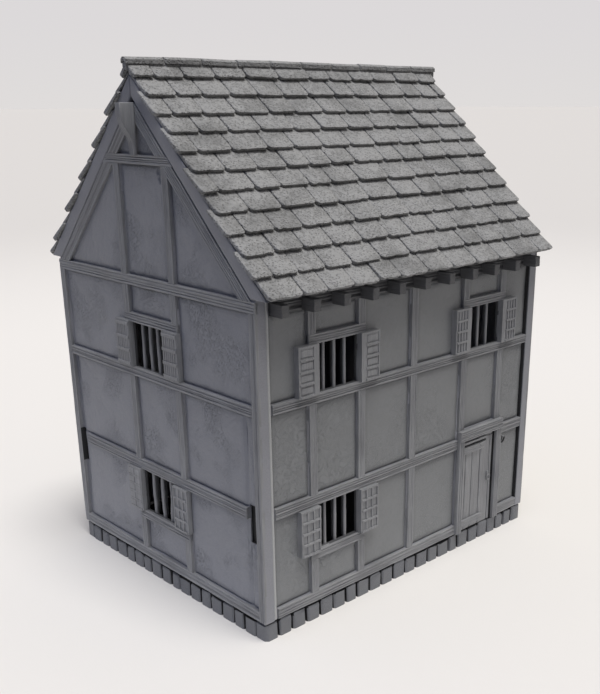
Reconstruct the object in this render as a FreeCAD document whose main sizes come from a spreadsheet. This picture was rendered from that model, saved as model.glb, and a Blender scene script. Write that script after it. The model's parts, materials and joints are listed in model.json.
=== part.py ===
"""Half-timbered town house, built as a 1:56 tabletop model kit.

Two long wall panels stand between two gable panels on a ring of plinth stones, and
a two-slope slated roof closes the shell. Everything is in millimetres. The origin is
on the table under the middle of the house, +Z is up, the door is in the front wall
(-Y) and the left gable is at -X.
"""
import FreeCAD, Part
import math
import os
import Sketcher

os.makedirs("parts", exist_ok=True)
doc = FreeCAD.newDocument("town_house")

# ---------------------------------------------------------------- driving sizes
SIZES = {
    # the shell
    "wall_length": 125.0,        # front and back, over the gable panels
    "wall_depth": 102.0,         # gables, over their timbers
    "wall_height": 95.0,         # plinth top to the shoulder of the gable
    "panel_thickness": 3.6,      # timbers and plaster together
    "plaster_recess": 1.0,       # plaster lies this far behind the timbers
    "glue_gap": 0.1,             # play in every glued seam
    "overcut": 1.0,              # how far a cutting block runs past the panel
    "shoulder": 1.6,             # level step at the foot of the gable slope
    "roof_pitch": 45.0,
    "ridge_flat": 2.9,           # blunt top of the gable panel
    # the plinth
    "plinth_height": 5.9,
    "plinth_thickness": 4.4,
    "plinth_chamfer": 1.2,
    # timbers
    "stud_width": 2.8,
    "post_width": 2.7,
    "corner_gap": 0.55,          # timbers of a long wall stop this short of its left gable
    "sill_height": 3.3,
    "lower_rail": 31.6,          # underside of the rail over the ground floor windows
    "lower_rail_height": 3.4,
    "middle_rail": 62.8,         # underside of the rail under the upper windows
    "middle_rail_height": 2.9,
    "plate_height": 4.7,         # wall plate under the eaves
    "tie_beam_drop": 3.6,        # underside of the tie beam, below the shoulder
    "tie_beam_height": 3.1,
    "collar_rise": 31.5,         # underside of the collar, above the shoulder
    "collar_height": 2.6,
    "rafter_width": 3.5,
    # windows
    "window_width": 16.7,
    "upper_window_height": 14.3,
    "lower_window_height": 14.7,
    "lintel_height": 2.9,
    "window_sill_height": 2.8,
    # where the studs stand
    "left_margin": 20.0,         # left end of the wall to its first stud
    "right_margin": 18.2,        # right end of the wall to its last stud
    "gable_margin": 37.2,        # right edge of the gable to its right stud
    "gable_stud_spacing": 24.9,
    # slots beside the corner posts
    "slot_width": 1.0,
    "slot_height": 12.0,
    "slot_rise": 0.9,            # above the lower rail
    "slot_depth": 2.4,
    # shutters
    "shutter_width": 7.6,
    "shutter_height": 14.6,
    "shutter_thickness": 1.2,
    "shutter_stile": 2.1,        # plain edge beside the window
    "shutter_border": 0.6,       # plain edge on the far side
    "shutter_rail": 0.7,         # left standing between two panels
    "shutter_sink": 0.4,
    # door
    "door_opening": 18.0,
    "door_height": 34.4,
    "door_shift": 0.2,           # middle of the door, right of the middle of its bay
    "door_clearance": 0.1,
    "leaf_thickness": 1.6,
    "leaf_setback": 0.2,         # leaf behind the timbers
    "batten_margin": 0.6,
    "batten_length": 11.0,
    "batten_height": 2.4,
    "batten_inset": 1.6,
    "batten_depth": 0.5,
    "jamb_width": 2.6,
    "jamb_depth": 1.0,           # jambs stand proud of the timbers
    "door_lintel_height": 3.6,
    "door_lintel_depth": 1.5,
    # joist ends under the eaves
    "joist_count": 11,
    "joist_width": 2.6,
    "joist_height": 3.4,
    "joist_reach": 5.0,
    "joist_inset": 5.2,          # first joist face to the end of the wall
    "joist_drop": 1.3,           # top of the joists, below the shoulder
    # roof
    "slab_thickness": 4.2,
    "slate_exposure": 7.03,
    "slate_rise": 2.5,           # tip of a slate over the slab
    "slate_step": 1.5,           # tip of a slate over the course below it
    "slate_least": 1.5,          # shortest piece of slate left under the ridge
    "slate_eaves_reach": 0.95,
    "verge_reach": 0.8,          # slates past the end of the slab
    "ridge_reach": 1.7,
    "ridge_half_width": 2.7,
    "ridge_thickness": 2.35,
    "ridge_round": 2.0,
    # bracket at the top of the gable
    "bracket_width": 2.6,
    "bracket_foot": 0.9,         # how far the foot stands out of the wall
    "bracket_reach": 4.4,        # how far the nose does
    "bracket_nose": 2.2,         # straight height of the nose
    "bracket_sweep": 10.5,       # height of the double curve between them
}

sheet = doc.addObject("Spreadsheet::Sheet", "dims")
for row, (alias, value) in enumerate(SIZES.items(), start=1):
    sheet.set(f"A{row}", alias)
    sheet.set(f"B{row}", str(value))
    sheet.setAlias(f"B{row}", alias)
doc.recompute()


# ---------------------------------------------------------------- small helpers
def bind(thing, **expressions):
    """Bind properties to expressions; a double underscore stands for a dot."""
    for path, text in expressions.items():
        thing.setExpression(path.replace("__", "."), text)


def block(name, left, bottom, width, height, back="0", depth="dims.plaster_recess"):
    """A square-edged block in a wall's own frame: X along, Y up, Z out of the wall."""
    piece = doc.addObject("Part::Box", name)
    bind(piece, Length=width, Width=height, Height=depth)
    bind(piece, Placement__Base__x=left, Placement__Base__y=bottom, Placement__Base__z=back)
    return piece


def fused(name, pieces):
    """One shape out of several blocks."""
    union = doc.addObject("Part::MultiFuse", name)
    union.Shapes = pieces
    return union


def cut(name, base, tool):
    """The base with the tool taken out of it."""
    result = doc.addObject("Part::Cut", name)
    result.Base = base
    result.Tool = tool
    return result


def plane_of(body, role):
    """One of the body's own origin planes or axes."""
    return next(item for item in body.Origin.OriginFeatures if item.Role == role)


def outline(body, name, role, corners):
    """A closed, fully dimensioned polygon; each corner is a pair of expressions."""
    sketch = body.newObject("Sketcher::SketchObject", name)
    sketch.AttachmentSupport = [(plane_of(body, role), "")]
    sketch.MapMode = "FlatFace"
    points = [FreeCAD.Vector(*(float(sheet.evalExpression(text)) for text in corner))
              for corner in corners]
    count = len(points)
    sketch.addGeometry([Part.LineSegment(points[i], points[(i + 1) % count])
                        for i in range(count)])
    joints = [Sketcher.Constraint("Coincident", i, 2, (i + 1) % count, 1) for i in range(count)]
    sketch.addConstraint(joints)
    for i, (across, up) in enumerate(corners):
        number = sketch.addConstraint(Sketcher.Constraint("DistanceX", -1, 1, i, 1, points[i].x))
        sketch.setExpression(f"Constraints[{number}]", across)
        number = sketch.addConstraint(Sketcher.Constraint("DistanceY", -1, 1, i, 1, points[i].y))
        sketch.setExpression(f"Constraints[{number}]", up)
    return sketch


def pad(body, sketch, length, midplane=False, reverse=False):
    """Pad a sketch by an expression."""
    feature = body.newObject("PartDesign::Pad", sketch.Name + "_pad")
    feature.Profile = sketch
    feature.Midplane = midplane
    feature.Reversed = reverse
    feature.setExpression("Length", length)
    return feature


# how each wall is turned, seen from outside, and how far out its face stands
SIDES = {
    "front": (0, "0", "-dims.wall_depth / 2"),
    "right": (90, "dims.wall_length / 2", "0"),
    "back": (180, "0", "dims.wall_depth / 2"),
    "left": (270, "-dims.wall_length / 2", "0"),
}


def stand(piece, side, level="dims.plinth_height"):
    """Stand a piece drawn in a wall's own frame on its side of the house."""
    turn, across, along = SIDES[side]
    upright = FreeCAD.Rotation(FreeCAD.Vector(1, 0, 0), 90)
    around = FreeCAD.Rotation(FreeCAD.Vector(0, 0, 1), turn)
    piece.Placement = FreeCAD.Placement(FreeCAD.Vector(0, 0, 0), around * upright)
    bind(piece, Placement__Base__x=across, Placement__Base__y=along, Placement__Base__z=level)
    return piece


subparts = []


def sub_part(piece, label):
    """Name a finished piece and put it on the list to be written."""
    piece.Label = label
    subparts.append(piece)
    return piece


# ---------------------------------------------------------------- heights, from the plinth top
LOWER_SILL = "(dims.lower_rail - dims.lower_window_height)"
LOWER_RAIL_TOP = "(dims.lower_rail + dims.lower_rail_height)"
UPPER_SILL = "(dims.middle_rail + dims.middle_rail_height)"
LINTEL = f"({UPPER_SILL} + dims.upper_window_height)"
TIE_BEAM = "(dims.wall_height - dims.tie_beam_drop)"
COLLAR = "(dims.wall_height + dims.collar_rise)"
HALF_DEPTH = "dims.wall_depth / 2"
SLOPE_FOOT = f"({HALF_DEPTH} - dims.shoulder)"
BAY = "(dims.window_width + dims.stud_width)"
THROUGH = "(dims.panel_thickness + 2 * dims.overcut)"

# window bays: left edge of the opening, seen from outside
WALL_BAYS = {
    "near": "(-dims.wall_length / 2 + dims.left_margin + dims.stud_width / 2)",
    "far": "(dims.wall_length / 2 - dims.right_margin - dims.stud_width / 2 - dims.window_width)",
}
GABLE_RIGHT_STUD = "(dims.wall_depth / 2 - dims.gable_margin)"
GABLE_LEFT_STUD = f"({GABLE_RIGHT_STUD} - dims.gable_stud_spacing)"
GABLE_BAY = f"({GABLE_LEFT_STUD} + dims.stud_width / 2)"


def window_opening(name, left, upper):
    """The hole of one window, through the whole panel."""
    bottom = UPPER_SILL if upper else LOWER_SILL
    height = "dims.upper_window_height" if upper else "dims.lower_window_height"
    return block(name, left, bottom, "dims.window_width", height,
                 back="-dims.panel_thickness - dims.overcut", depth=THROUGH)


def window_timber(name, left, upper):
    """The lintel over an upper window or the sill under a lower one, post to post."""
    bottom = LINTEL if upper else f"({LOWER_SILL} - dims.window_sill_height)"
    height = "dims.lintel_height" if upper else "dims.window_sill_height"
    return block(name, f"{left} - dims.stud_width", bottom, f"{BAY} + dims.stud_width", height,
                 back="-dims.plaster_recess")


# ---------------------------------------------------------------- long walls
def stud(name, middle, bottom="0", top="dims.wall_height"):
    """An upright timber about its own middle line."""
    return block(name, f"{middle} - dims.stud_width / 2", bottom, "dims.stud_width",
                 f"{top} - ({bottom})", back="-dims.plaster_recess")


def rail(name, width, bottom, height):
    """A level timber across the whole wall."""
    return block(name, f"-({width}) / 2", bottom, width, height, back="-dims.plaster_recess")


DOOR_LEFT = "(dims.wall_length / 2 - dims.right_margin - dims.window_width / 2 " \
            "- dims.stud_width / 2 + dims.door_shift - dims.door_opening / 2)"


def long_wall(side, windows, has_door):
    """A long wall panel: timbers flush with the face, plaster bays sunk between them."""
    inner = "(dims.wall_length - 2 * dims.panel_thickness - 2 * dims.glue_gap)"
    panel = block(f"{side}_panel", f"-{inner} / 2", "0", inner, "dims.wall_height",
                  back="-dims.panel_thickness", depth="dims.panel_thickness")
    field = block(f"{side}_field", f"-{inner} / 2", "dims.sill_height", inner,
                  "dims.wall_height - dims.sill_height - dims.plate_height",
                  back="-dims.plaster_recess")
    near, far = WALL_BAYS["near"], WALL_BAYS["far"]
    half = "dims.stud_width / 2"
    timbers = [
        stud(f"{side}_stud_1", f"{near} - {half}"),
        stud(f"{side}_stud_2", f"{near} + dims.window_width + {half}"),
        stud(f"{side}_stud_3", "0"),
        stud(f"{side}_stud_4", f"{far} - {half}", bottom=LOWER_RAIL_TOP if has_door else "0"),
        stud(f"{side}_stud_5", f"{far} + dims.window_width + {half}",
             bottom=LOWER_RAIL_TOP if has_door else "0"),
        rail(f"{side}_lower_rail", inner, "dims.lower_rail", "dims.lower_rail_height"),
        rail(f"{side}_middle_rail", inner, "dims.middle_rail", "dims.middle_rail_height"),
    ]
    openings = []
    for bay, upper in windows:
        tag = f"{side}_{bay}_{'upper' if upper else 'lower'}"
        openings.append(window_opening(f"{tag}_hole", WALL_BAYS[bay], upper))
        timbers.append(window_timber(f"{tag}_timber", WALL_BAYS[bay], upper))
    if has_door:
        timbers.append(block(f"{side}_door_posts", f"{DOOR_LEFT} - dims.jamb_width", "0",
                             "dims.door_opening + 2 * dims.jamb_width",
                             "dims.door_height + dims.door_lintel_height",
                             back="-dims.plaster_recess"))
        openings.append(block(f"{side}_door_hole", DOOR_LEFT, "-dims.overcut",
                              "dims.door_opening", "dims.door_height + dims.overcut",
                              back="-dims.panel_thickness - dims.overcut", depth=THROUGH))
    plaster = cut(f"{side}_plaster", field, fused(f"{side}_timbers", timbers))
    # the level timbers stop a little short of the gable on the left
    short_end = block(f"{side}_short_end", f"-{inner} / 2", "0", "dims.corner_gap",
                      "dims.wall_height", back="-dims.plaster_recess")
    framed = cut(f"{side}_framed", panel, fused(f"{side}_sunk", [plaster, short_end]))
    wall = cut(f"{side}_cut", framed, fused(f"{side}_holes", openings))
    return sub_part(stand(wall, side), f"{side}_wall")


FRONT_WINDOWS = [("near", True), ("near", False), ("far", True)]
BACK_WINDOWS = [("near", True), ("near", False), ("far", True), ("far", False)]
long_wall("front", FRONT_WINDOWS, has_door=True)
long_wall("back", BACK_WINDOWS, has_door=False)


# ---------------------------------------------------------------- gable walls
def gable_wall(side):
    """A gable panel up to its blunt top, with rafters, collar and a slot at each post."""
    slope = "tan(dims.roof_pitch)"
    body = doc.addObject("PartDesign::Body", f"{side}_gable_body")
    top = f"dims.wall_height + ({SLOPE_FOOT} - dims.ridge_flat / 2) * {slope}"
    corners = [(f"-{HALF_DEPTH}", "0"), (HALF_DEPTH, "0"), (HALF_DEPTH, "dims.wall_height"),
               (SLOPE_FOOT, "dims.wall_height"), ("dims.ridge_flat / 2", top),
               ("-dims.ridge_flat / 2", top), (f"-{SLOPE_FOOT}", "dims.wall_height"),
               (f"-{HALF_DEPTH}", "dims.wall_height")]
    pad(body, outline(body, f"{side}_gable_outline", "XY_Plane", corners),
        "dims.panel_thickness", reverse=True)

    # plaster between the posts, and between the rafters above the tie beam
    lower = block(f"{side}_lower_field", f"-{HALF_DEPTH} + dims.post_width", "dims.sill_height",
                  "dims.wall_depth - 2 * dims.post_width", f"{TIE_BEAM} - dims.sill_height",
                  back="-dims.plaster_recess")
    tie_top = f"({TIE_BEAM} + dims.tie_beam_height)"
    inner_apex = f"(dims.wall_height + {SLOPE_FOOT} * {slope} " \
                 "- dims.rafter_width / cos(dims.roof_pitch))"
    inner_foot = f"(({inner_apex} - {tie_top}) / {slope})"
    attic = doc.addObject("PartDesign::Body", f"{side}_attic_body")
    pad(attic, outline(attic, f"{side}_attic_outline", "XY_Plane",
                       [(f"-{inner_foot}", tie_top), (inner_foot, tie_top), ("0", inner_apex)]),
        "dims.plaster_recess", reverse=True)

    timbers = [
        stud(f"{side}_left_stud", GABLE_LEFT_STUD, top=COLLAR),
        stud(f"{side}_right_stud", GABLE_RIGHT_STUD, top=COLLAR),
        rail(f"{side}_lower_rail", "dims.wall_depth", "dims.lower_rail", "dims.lower_rail_height"),
        rail(f"{side}_middle_rail", "dims.wall_depth", "dims.middle_rail",
             "dims.middle_rail_height"),
        rail(f"{side}_collar", "dims.wall_depth", COLLAR, "dims.collar_height"),
    ]
    openings = []
    for upper in (True, False):
        tag = f"{side}_{'upper' if upper else 'lower'}"
        openings.append(window_opening(f"{tag}_hole", GABLE_BAY, upper))
        bottom = LINTEL if upper else f"({LOWER_SILL} - dims.window_sill_height)"
        height = "dims.lintel_height" if upper else "dims.window_sill_height"
        timbers.append(block(f"{tag}_timber", GABLE_LEFT_STUD, bottom, "dims.gable_stud_spacing",
                             height, back="-dims.plaster_recess"))
    for end, left in (("near", f"{HALF_DEPTH} - dims.post_width - dims.slot_width"),
                      ("far", f"-{HALF_DEPTH} + dims.post_width")):
        openings.append(block(f"{side}_{end}_slot", left,
                              f"{LOWER_RAIL_TOP} + dims.slot_rise - dims.slot_height",
                              "dims.slot_width", "dims.slot_height",
                              back="-dims.slot_depth",
                              depth="dims.slot_depth + dims.overcut"))
    plaster = cut(f"{side}_plaster", fused(f"{side}_fields", [lower, attic]),
                  fused(f"{side}_timbers", timbers))
    framed = cut(f"{side}_framed", body, plaster)
    wall = cut(f"{side}_cut", framed, fused(f"{side}_holes", openings))
    return sub_part(stand(wall, side), f"{side}_gable_wall")


gable_wall("left")
gable_wall("right")


# ---------------------------------------------------------------- bracket under each roof end
def knee_outline(body, name, foot_level, top_level):
    """Side view of the knee: a straight foot, two equal tangent arcs, a straight nose."""
    value = {key: float(sheet.evalExpression(text)) for key, text in {
        "back": "dims.glue_gap / 2", "foot": "dims.bracket_foot", "nose": "dims.bracket_reach",
        "low": foot_level, "top": top_level,
        "bend_top": f"{top_level} - dims.bracket_nose",
        "bend_foot": f"{top_level} - dims.bracket_nose - dims.bracket_sweep"}.items()}
    lean = value["nose"] - value["foot"]
    rise = value["bend_top"] - value["bend_foot"]
    radius = (lean ** 2 + rise ** 2) / (4 * lean)
    turn = math.asin(rise / 2 / radius)
    sketch = body.newObject("Sketcher::SketchObject", name)
    sketch.AttachmentSupport = [(plane_of(body, "XZ_Plane"), "")]
    sketch.MapMode = "FlatFace"

    def corner(across, up):
        return FreeCAD.Vector(value[across], value[up], 0)

    def circle(across, up):
        return Part.Circle(FreeCAD.Vector(across, up, 0), FreeCAD.Vector(0, 0, 1), radius)

    sketch.addGeometry([
        Part.LineSegment(corner("back", "top"), corner("back", "low")),          # 0 on the wall
        Part.LineSegment(corner("back", "low"), corner("foot", "low")),          # 1 on the collar
        Part.LineSegment(corner("foot", "low"), corner("foot", "bend_foot")),    # 2 foot
        Part.ArcOfCircle(circle(value["foot"] + radius, value["bend_foot"]),
                         math.pi - turn, math.pi),                               # 3 hollow
        Part.ArcOfCircle(circle(value["nose"] - radius, value["bend_top"]), -turn, 0),  # 4 belly
        Part.LineSegment(corner("nose", "bend_top"), corner("nose", "top")),     # 5 nose
        Part.LineSegment(corner("nose", "top"), corner("back", "top")),          # 6 under the ridge
    ])
    start, end = 1, 2
    sketch.addConstraint([
        Sketcher.Constraint("Coincident", 0, end, 1, start),
        Sketcher.Constraint("Coincident", 1, end, 2, start),
        Sketcher.Constraint("Tangent", 2, end, 3, end),
        Sketcher.Constraint("Tangent", 3, start, 4, start),
        Sketcher.Constraint("Tangent", 4, end, 5, start),
        Sketcher.Constraint("Coincident", 5, end, 6, start),
        Sketcher.Constraint("Coincident", 6, end, 0, start),
        Sketcher.Constraint("Vertical", 0),
        Sketcher.Constraint("Horizontal", 1),
        Sketcher.Constraint("Vertical", 2),
        Sketcher.Constraint("Vertical", 5),
        Sketcher.Constraint("Horizontal", 6),
        Sketcher.Constraint("Equal", 3, 4),
    ])
    for kind, line, point, across in (("DistanceX", 0, start, "dims.glue_gap / 2"),
                                      ("DistanceX", 2, start, "dims.bracket_foot"),
                                      ("DistanceX", 5, end, "dims.bracket_reach"),
                                      ("DistanceY", 1, start, foot_level),
                                      ("DistanceY", 5, end, top_level),
                                      ("DistanceY", 5, start, f"{top_level} - dims.bracket_nose"),
                                      ("DistanceY", 2, end, f"{top_level} - dims.bracket_nose "
                                                            "- dims.bracket_sweep")):
        size = float(sheet.evalExpression(across))
        number = sketch.addConstraint(Sketcher.Constraint(kind, -1, 1, line, point, size))
        sketch.setExpression(f"Constraints[{number}]", across)
    return sketch


def gable_bracket(side):
    """A curved knee that leans out from the collar to carry the end of the ridge."""
    top = f"(dims.wall_height + ({SLOPE_FOOT} - dims.ridge_flat / 2) * tan(dims.roof_pitch))"
    collar_top = f"({COLLAR} + dims.collar_height)"
    body = doc.addObject("PartDesign::Body", f"{side}_bracket_body")
    # drawn in the plane across the wall: X out of the wall, Y up
    pad(body, knee_outline(body, f"{side}_bracket_outline", collar_top, top),
        "dims.bracket_width", midplane=True)
    turn = {"left": 180, "right": 0}[side]
    body.Placement = FreeCAD.Placement(FreeCAD.Vector(0, 0, 0),
                                       FreeCAD.Rotation(FreeCAD.Vector(0, 0, 1), turn))
    bind(body, Placement__Base__x=SIDES[side][1], Placement__Base__z="dims.plinth_height")
    return sub_part(body, f"{side}_gable_bracket")


gable_bracket("left")
gable_bracket("right")


# ---------------------------------------------------------------- plinth
def plinth(side, length):
    """One side of the ring of stones, with its ends chamfered at the corners."""
    body = doc.addObject("PartDesign::Body", f"{side}_plinth_body")
    chamfer = "dims.plinth_chamfer"
    depth = "dims.plinth_thickness"
    half = f"({length}) / 2"
    if side in ("front", "back"):
        corners = [(f"-{half}", f"-{depth}"), (half, f"-{depth}"), (half, f"-{chamfer}"),
                   (f"{half} - {chamfer}", "0"), (f"-{half} + {chamfer}", "0"),
                   (f"-{half}", f"-{chamfer}")]
    else:
        corners = [(f"-{half}", f"-{depth}"), (half, f"-{depth}"), (half, "0"), (f"-{half}", "0")]
    # the plan is drawn with Y out of the wall and padded up
    pad(body, outline(body, f"{side}_plinth_plan", "XY_Plane", corners), "dims.plinth_height")
    turn, across, along = SIDES[side]
    body.Placement = FreeCAD.Placement(FreeCAD.Vector(0, 0, 0),
                                       FreeCAD.Rotation(FreeCAD.Vector(0, 0, 1), turn + 180))
    bind(body, Placement__Base__x=across, Placement__Base__y=along)
    return sub_part(body, f"{side}_plinth")


SIDE_PLINTH = "dims.wall_depth - 2 * dims.plinth_thickness - 2 * dims.glue_gap"
plinth("front", "dims.wall_length")
plinth("back", "dims.wall_length")
plinth("left", SIDE_PLINTH)
plinth("right", SIDE_PLINTH)


# ---------------------------------------------------------------- joist ends under the eaves
def joist_ends(side):
    """The row of square joist ends that stands out of the wall plate."""
    joists = []
    for number in range(SIZES["joist_count"]):
        left = f"-dims.wall_length / 2 + dims.joist_inset + {number} " \
               "* (dims.wall_length - 2 * dims.joist_inset - dims.joist_width) " \
               "/ (dims.joist_count - 1)"
        joists.append(block(f"{side}_joist_{number + 1}", left,
                            "dims.wall_height - dims.joist_drop - dims.joist_height",
                            "dims.joist_width", "dims.joist_height",
                            back="0", depth="dims.joist_reach"))
    row = doc.addObject("Part::Compound", f"{side}_joist_row")
    row.Links = joists
    return sub_part(stand(row, side), f"{side}_joist_ends")


joist_ends("front")
joist_ends("back")


# ---------------------------------------------------------------- roof
RISE = "tan(dims.roof_pitch)"
SLAB_UPRIGHT = "(dims.slab_thickness / cos(dims.roof_pitch))"
EAVES_LEVEL = "(dims.plinth_height + dims.wall_height + dims.glue_gap)"
EAVES_OUT = f"({SLOPE_FOOT} + {SLAB_UPRIGHT} / {RISE})"
# full courses that fit up the slope, and how far up it the foot of the last one lies
COURSES = f"(floor(({EAVES_OUT} / cos(dims.roof_pitch) + dims.slate_eaves_reach " \
          "- dims.slate_least) / dims.slate_exposure) + 1)"
LAST_FOOT = f"(dims.slate_exposure * ({COURSES} - 1) - dims.slate_eaves_reach)"


def roof_slab(side):
    """A plain slope with a level foot on the walls and an upright joint at the ridge."""
    body = doc.addObject("PartDesign::Body", f"{side}_slab_body")
    ridge = f"({EAVES_LEVEL} + {SLOPE_FOOT} * {RISE})"
    seam = "-dims.glue_gap / 2"
    corners = [(f"-{EAVES_OUT}", EAVES_LEVEL), (f"-{SLOPE_FOOT}", EAVES_LEVEL),
               (seam, f"{ridge} - dims.glue_gap / 2 * {RISE}"),
               (seam, f"{ridge} + {SLAB_UPRIGHT} - dims.glue_gap / 2 * {RISE}")]
    pad(body, outline(body, f"{side}_slab_profile", "YZ_Plane", corners),
        "dims.wall_length", midplane=True)
    turn = 0 if side == "front" else 180
    body.Placement = FreeCAD.Placement(FreeCAD.Vector(0, 0, 0),
                                       FreeCAD.Rotation(FreeCAD.Vector(0, 0, 1), turn))
    return sub_part(body, f"{side}_roof_slab")


def slates(side):
    """Overlapping courses of slate as one stepped layer, cut upright at the ridge."""
    body = doc.addObject("PartDesign::Body", f"{side}_slates_body")
    foot = "-dims.slate_eaves_reach"
    head = f"({foot} + dims.slate_exposure)"
    lift = "dims.glue_gap"
    corners = [(foot, lift), (head, lift), (head, "dims.slate_rise - dims.slate_step"),
               (foot, "dims.slate_rise")]
    course = pad(body, outline(body, f"{side}_course", "YZ_Plane", corners),
                 "dims.wall_length + 2 * dims.verge_reach", midplane=True)
    doc.recompute()
    courses = body.newObject("PartDesign::LinearPattern", f"{side}_courses")
    courses.Originals = [course]
    courses.Direction = (plane_of(body, "Y_Axis"), [""])
    bind(courses, Length=f"dims.slate_exposure * ({COURSES} - 1)", Occurrences=COURSES)
    body.Tip = courses
    tilt = FreeCAD.Rotation(FreeCAD.Vector(1, 0, 0), SIZES["roof_pitch"])
    body.Placement = FreeCAD.Placement(FreeCAD.Vector(0, 0, 0), tilt)
    bind(body, Placement__Rotation__Angle="dims.roof_pitch", Placement__Base__y=f"-{EAVES_OUT}",
         Placement__Base__z=EAVES_LEVEL)
    beyond = doc.addObject("Part::Box", f"{side}_beyond_ridge")
    bind(beyond, Length="dims.wall_length * 2", Width="dims.wall_depth", Height="dims.wall_depth",
         Placement__Base__x="-dims.wall_length", Placement__Base__y="-dims.glue_gap / 2",
         Placement__Base__z=f"{EAVES_LEVEL} + {HALF_DEPTH} / 2")
    layer = cut(f"{side}_slate_layer", body, beyond)
    turn = 0 if side == "front" else 180
    layer.Placement = FreeCAD.Placement(FreeCAD.Vector(0, 0, 0),
                                        FreeCAD.Rotation(FreeCAD.Vector(0, 0, 1), turn))
    return sub_part(layer, f"{side}_slates")


roof_slab("front")
roof_slab("back")
slates("front")
slates("back")


def ridge():
    """The ridge tiles: a round-backed cap bedded on the last course of both slopes."""
    body = doc.addObject("PartDesign::Body", "ridge_body")
    half = "dims.ridge_half_width"
    # the last course's upper face, as a line across the roof: where it meets the ridge plane
    gain = "(dims.slate_step / dims.slate_exposure)"
    sine, cosine = "sin(dims.roof_pitch)", "cos(dims.roof_pitch)"
    along = f"(({EAVES_OUT} + (dims.slate_rise + {gain} * {LAST_FOOT}) * {sine}) " \
            f"/ ({cosine} + {gain} * {sine}))"
    lift = f"(dims.slate_rise - {gain} * ({along} - {LAST_FOOT}))"
    under = f"({EAVES_LEVEL} + {along} * {sine} + {lift} * {cosine} + dims.glue_gap)"
    fall = f"(({RISE} - {gain}) / (1 + {RISE} * {gain}))"
    edge = f"({under} - {half} * {fall})"
    corners = [(f"-{half}", edge), ("0", under), (half, edge),
               (half, f"{edge} + dims.ridge_thickness"), ("0", f"{under} + dims.ridge_thickness"),
               (f"-{half}", f"{edge} + dims.ridge_thickness")]
    cap = pad(body, outline(body, "ridge_profile", "YZ_Plane", corners),
              "dims.wall_length + 2 * dims.ridge_reach", midplane=True)
    doc.recompute()
    crown = max(range(len(cap.Shape.Edges)), key=lambda i: cap.Shape.Edges[i].BoundBox.ZMin)
    rounding = body.newObject("PartDesign::Fillet", "ridge_rounding")
    rounding.Base = (cap, [f"Edge{crown + 1}"])
    bind(rounding, Radius="dims.ridge_round")
    return sub_part(body, "ridge_tiles")


ridge()


# ---------------------------------------------------------------- shutters
# rows and columns of sunk panels, and the plain edges beside the window and away from it
PANELS = {"panelled": (4, 1, "dims.shutter_stile", "dims.shutter_border"),
          "lattice": (4, 3, "dims.shutter_border", "dims.shutter_border"),
          "battened": (4, 1, "0", "0")}


def shutter_leaf(name, left, bottom, kind, window_on_right):
    """One leaf with its sunk panels: a plain column, a lattice, or bays between battens."""
    rows, columns, inner_edge, outer_edge = PANELS[kind]
    left_edge = outer_edge if window_on_right else inner_edge
    board = block(f"{name}_board", left, bottom, "dims.shutter_width", "dims.shutter_height",
                  depth="dims.shutter_thickness")
    across = f"((dims.shutter_width - {inner_edge} - {outer_edge} " \
             f"- {columns - 1} * dims.shutter_rail) / {columns})"
    up = f"((dims.shutter_height - {rows + 1} * dims.shutter_rail) / {rows})"
    panels = [block(f"{name}_panel_{row + 1}_{column + 1}",
                    f"{left} + {left_edge} + {column} * ({across} + dims.shutter_rail)",
                    f"{bottom} + dims.shutter_rail + {row} * ({up} + dims.shutter_rail)",
                    across, up, back="dims.shutter_thickness - dims.shutter_sink",
                    depth="dims.shutter_sink + dims.overcut")
              for row in range(rows) for column in range(columns)]
    return cut(name, board, fused(f"{name}_panels", panels))


def shutters(side, name, left, upper, kind):
    """The two open shutters of one window, flat against the wall."""
    bottom = UPPER_SILL if upper else LOWER_SILL
    pair = doc.addObject("Part::Compound", f"{name}_pair")
    pair.Links = [
        shutter_leaf(f"{name}_left", f"{left} - dims.shutter_width", bottom, kind, True),
        shutter_leaf(f"{name}_right", f"{left} + dims.window_width", bottom, kind, False)]
    return sub_part(stand(pair, side), name)


for side, windows in (("front", FRONT_WINDOWS), ("back", BACK_WINDOWS)):
    for bay, upper in windows:
        storey = "upper" if upper else "lower"
        hand = {"near": "left", "far": "right"}[bay]
        shutters(side, f"{side}_{storey}_{hand}_shutters", WALL_BAYS[bay], upper,
                 "panelled" if upper else "lattice")
for side in ("left", "right"):
    for upper in (True, False):
        storey = "upper" if upper else "lower"
        shutters(side, f"{side}_gable_{storey}_shutters", GABLE_BAY, upper,
                 "battened" if upper else "lattice")


# ---------------------------------------------------------------- door
def door_frame():
    """Two jambs and a lintel that stand proud of the front wall."""
    jambs = [block("left_jamb", f"{DOOR_LEFT} - dims.jamb_width", "0", "dims.jamb_width",
                   "dims.door_height", depth="dims.jamb_depth"),
             block("right_jamb", f"{DOOR_LEFT} + dims.door_opening", "0", "dims.jamb_width",
                   "dims.door_height", depth="dims.jamb_depth"),
             block("door_lintel", f"{DOOR_LEFT} - dims.jamb_width", "dims.door_height",
                   "dims.door_opening + 2 * dims.jamb_width", "dims.door_lintel_height",
                   depth="dims.door_lintel_depth")]
    return sub_part(stand(fused("door_surround", jambs), "front"), "door_frame")


def door():
    """The plank door, closed, a little behind the face of the timbers."""
    leaf = block("door_leaf", f"{DOOR_LEFT} + dims.door_clearance", "dims.door_clearance",
                 "dims.door_opening - 2 * dims.door_clearance",
                 "dims.door_height - 2 * dims.door_clearance",
                 back="-dims.leaf_setback - dims.leaf_thickness", depth="dims.leaf_thickness")
    battens = []
    for number, level in enumerate(("dims.batten_inset",
                                    "dims.door_height - dims.batten_inset - dims.batten_height")):
        battens.append(block(f"door_batten_{number + 1}", f"{DOOR_LEFT} + dims.batten_margin",
                             level, "dims.batten_length", "dims.batten_height",
                             back="-dims.leaf_setback", depth="dims.batten_depth"))
    return sub_part(stand(fused("door_planks", [leaf] + battens), "front"), "door")


door_frame()
door()

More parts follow.
